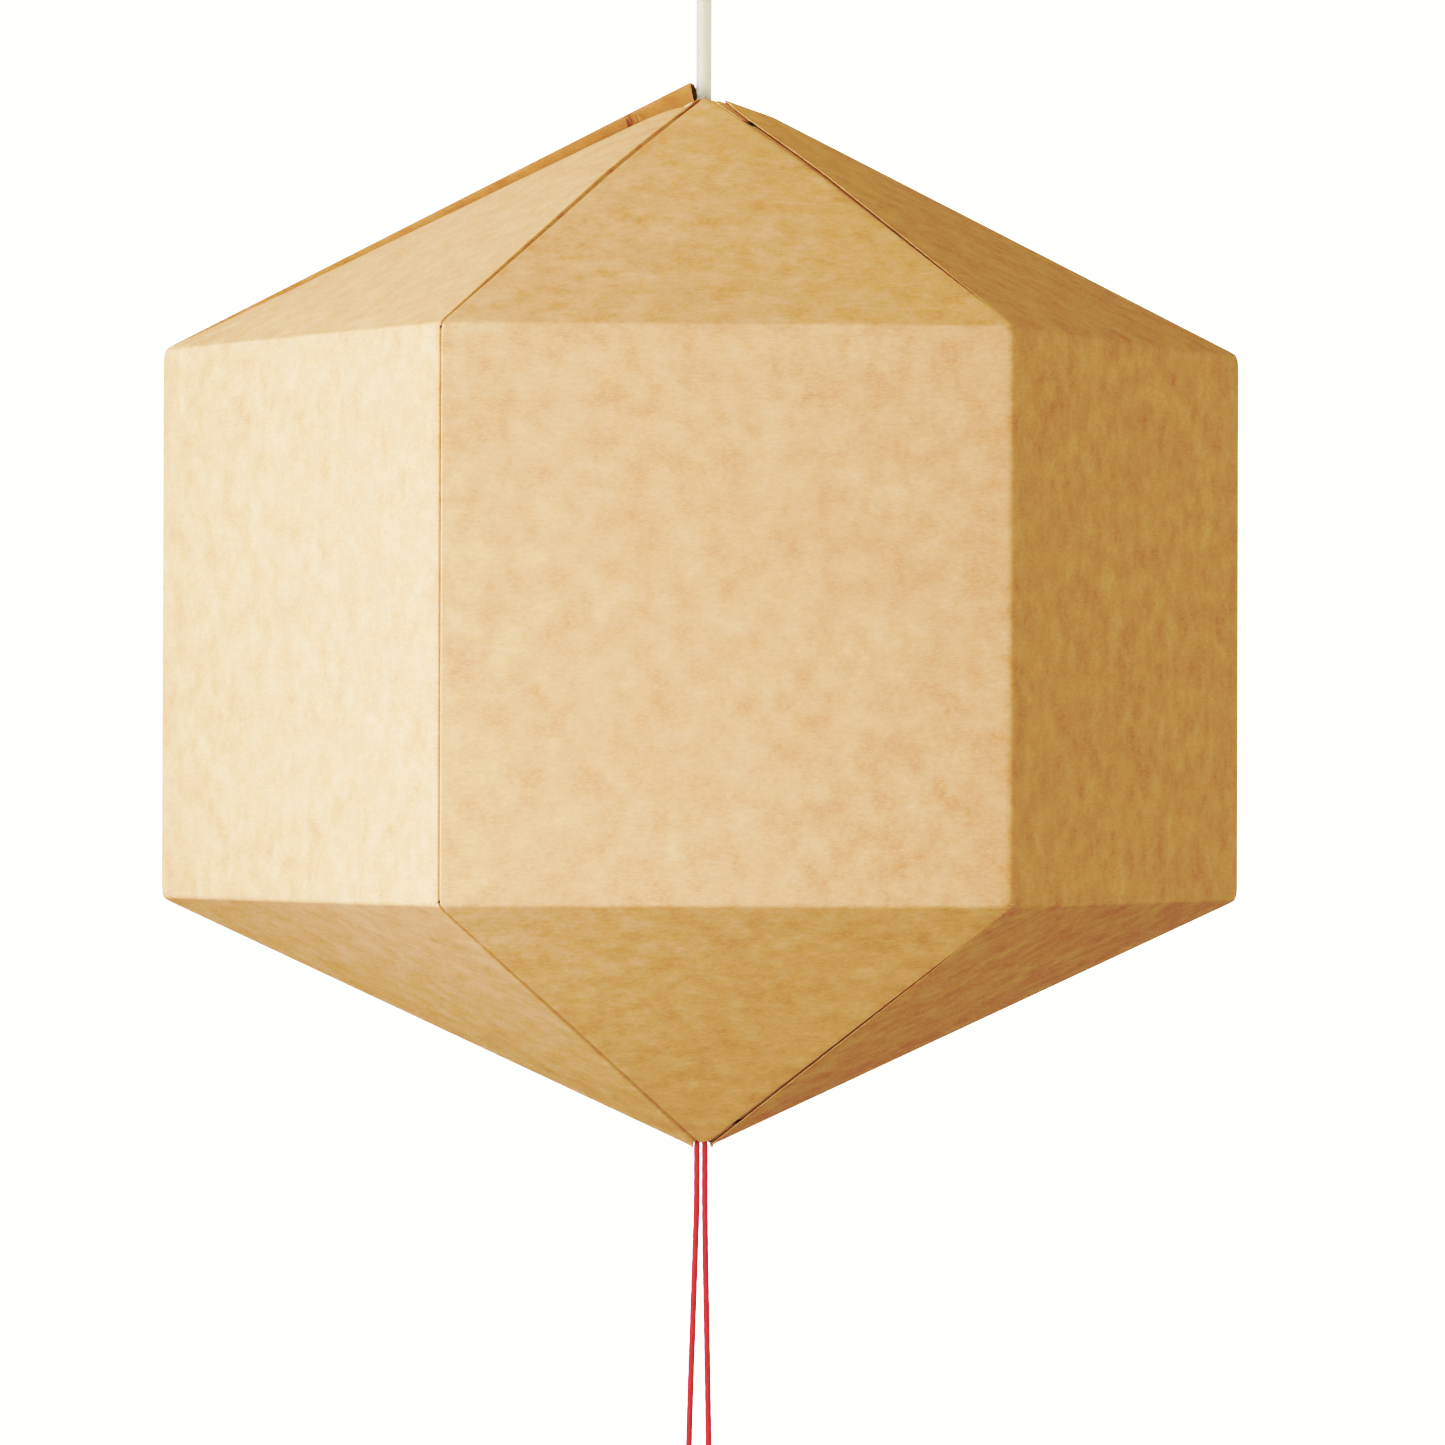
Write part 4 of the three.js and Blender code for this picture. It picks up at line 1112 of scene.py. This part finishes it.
low, high = extent("bulb_collar")
collar_top = high.z
collar_profile = from_height(low.z, (26, 0), (27.6, 0), (28, 0.5), (28, 1.8))
collar_profile += from_height(
    collar_top, (27.4, -26.6), (26.8, -24.2), (26, -21.6), (25.1, -19), (24, -16), (22.2, -13.4), (20.2, -10.8),
    (18.5, -8.2), (17, -6), (13.8, -3), (13.1, -0.4), (12.6, 0), (0, 0), (0, -4), (12, -6), (22, -17),
)


def collar_fins(angle, r, z):
    share = smooth((collar_top - 5 - z) / 3) * smooth((z - collar_top + 28) / 4) if r > 14 else 0
    return r - 0.9 * share * flutes(angle, 24, 6)


fitted("lamp_collar_moulded", lathe_parts(collar_profile, 288, collar_fins), "bulb_collar")

low, high = extent("bulb_led_board")
board = lathe_parts([(0, low.z), (high.x, low.z), (high.x, high.z), (0, high.z)], 72)
chips = []
for count, radius in ((12, 18.0), (5, 8.0)):
    chip = box_parts((radius, 0, low.z - 0.3), (2.8, 2.2, 0.6))
    chips += [moved(chip, at(0, 0, 0, ROUND * i / count, "Z")) for i in range(count)]
CHIP_FACES = 6
which = [0] * len(board[1]) + [1] * CHIP_FACES * len(chips)
made = finish_mesh("led_board_with_chips", *weld([board, *chips]), ["circuit_board", "led_phosphor"], which)
placed(tidy(made), "bulb_led_board")

low, high = extent("bulb_globe")
GLOBE_R, GLOBE_RIM_R, GLOBE_WALL = 30.0, 27.6, 1.4
rim_angle = acos(GLOBE_RIM_R / GLOBE_R)
centre_z = high.z - GLOBE_R * sin(rim_angle)
arc = np.linspace(-pi / 2, rim_angle, 44)


def globe_arc(radius, angles):
    return [(max(0.0, radius * cos(a)), centre_z + radius * sin(a)) for a in angles]


bowl, hollow = globe_arc(GLOBE_R, arc), globe_arc(GLOBE_R - GLOBE_WALL, arc[::-1])
bowl[0], hollow[-1] = (0, bowl[0][1]), (0, hollow[-1][1])
turned("lamp_globe_blown", bowl + hollow, "bulb_globe", 0, 96)

# ---- The red cord's inner knot, with a short length of cord down to each tail ----
low, high = extent("cord_inner_knot")
knot_at = np.array([0, 0, (low.z + high.z) / 2 + 0.3])
parts = [knot_parts(knot_at, 3.7, 1.0, 0.3)]
for _, _, route, _ in tails.values():
    x = route[0][0]
    line = [knot_at + [0.3 * x, 0, 0], (0.8 * x, 0, knot_at[2] - 2.2), (x, 0, TAIL_TOP - 0.25)]
    parts.append(tube_parts(curve_through(line, 14)[0], CORD_RADIUS - 0.02, 18))
fitted("red_inner_knot", weld(parts), "cord_inner_knot")

# Every CAD node has its slot's look too.
for node, slot in slot_of.items():
    data = frame["nodes"][node].data
    data.materials.clear()
    data.materials.append(looks[slot])

# ---- Floor ----
FLOOR_Z = -3.6
FLOOR_HALF = 18


def floor_plane(name, height, look):
    corners = ((-1, -1), (1, -1), (1, 1), (-1, 1))
    corners = [(x * FLOOR_HALF / MM, y * FLOOR_HALF / MM, height / MM) for x, y in corners]
    plane = finish_mesh(name, corners, [(0, 1, 2, 3)], [look])
    return plane


# One floor sends light back up, and a bright one that only the camera sees lies on it, as in a white studio.
moulded("floor", srgb(236, 235, 232), 0.7, 0.01)
floor_plane("floor", FLOOR_Z, "floor")
pale = Look("floor_pale")
pale.set(Base_Color=(0, 0, 0, 1), Specular_IOR_Level=0, Emission_Color=(0.95, 0.94, 0.92, 1), Emission_Strength=1)
seen = floor_plane("floor_seen", FLOOR_Z + 0.002, "floor_pale")
seen.visible_diffuse = seen.visible_glossy = seen.visible_transmission = seen.visible_shadow = False

# ---- Light ----
# The studio's own light, from straight below (0) through the horizon (0.5) to straight above (1).
STUDIO = (
    (0, (0.16, 0.13, 0.1, 1)), (0.25, (0.62, 0.61, 0.59, 1)), (0.5, (1.08, 1.08, 1.12, 1)),
    (0.7, (0.55, 0.46, 0.2, 1)), (1, (0.02, 0, 0, 1)),
)
BACKDROP = 1.5  # what the camera sees behind the lantern
world = bpy.data.worlds.new("world")
scene.world = world
world.use_nodes = True
studio = Tree(world.node_tree)
around = studio.new("ShaderNodeTexCoord", {}).outputs["Generated"]
height = studio.new("ShaderNodeSeparateXYZ", {0: around}).outputs["Z"]
glow = studio.new("ShaderNodeValToRGB", {"Fac": studio.spread(height, -1, 1)})
ramp = glow.color_ramp.elements
ramp[0].color, ramp[1].color = STUDIO[0][1], STUDIO[-1][1]
for place, colour in STUDIO[1:-1]:
    ramp.new(place).color = colour
ambient = world.node_tree.nodes["Background"]
studio.put(ambient.inputs["Color"], glow.outputs["Color"])
backdrop = studio.new("ShaderNodeBackground", {"Color": (1, 1, 1, 1), "Strength": BACKDROP})
to_camera = studio.new("ShaderNodeLightPath", {}).outputs["Is Camera Ray"]
mixed = studio.new("ShaderNodeMixShader", {"Fac": to_camera, 1: ambient.outputs[0], 2: backdrop.outputs[0]})
studio.put(world.node_tree.nodes["World Output"].inputs["Surface"], mixed.outputs[0])

LIGHT_AIM = Vector((0, 0, -0.32))
LIGHT_SPREAD = radians(75)


def softbox(name, turn, distance, height, size, watts):
    """A square light, this many degrees round from the front and this far out, aimed at the lantern."""
    light = bpy.data.lights.new(name, "AREA")
    light.shape = "SQUARE"
    light.size = size
    light.energy = watts
    light.spread = LIGHT_SPREAD
    made = shown(name, light)
    made.visible_camera = False
    a = radians(turn)
    made.location = (distance * sin(a), -distance * cos(a), height)
    made.rotation_mode = "QUATERNION"
    made.rotation_quaternion = (LIGHT_AIM - made.location).to_track_quat("-Z", "Y")


softbox("key", -59, 1.039, 0.28, 0.8, 1.75)
softbox("fill", -36, 0.752, -0.594, 0.5, 0.52)
softbox("bounce", 0, 0.2, -1.3, 1.6, 0.3)

# ---- Tone ----
TONE = [(0, 0), (0.05, 0.03), (0.128, 0.075), (0.2, 0.24), (0.3, 0.44), (0.42, 0.62), (0.6, 0.79)]
TONE += [(0.8, 0.89), (1, 0.955)]
GREENS = [(0.22, 0.23), (0.497, 0.527), (0.716, 0.765)]
BLUES = [(0.05, 0.038), (0.085, 0.098), (0.14, 0.178), (0.263, 0.33), (0.462, 0.605), (0.75, 0.9)]
view = scene.view_settings
view.view_transform = "Standard"
view.use_curve_mapping = True
_, green, blue, combined = view.curve_mapping.curves
combined.points[0].location = TONE[0]
combined.points[-1].location = TONE[-1]
for curve, points in ((combined, TONE[1:-1]), (green, GREENS), (blue, BLUES)):
    for x, y in points:
        curve.points.new(x, y)
view.curve_mapping.extend = "EXTRAPOLATED"
view.curve_mapping.update()
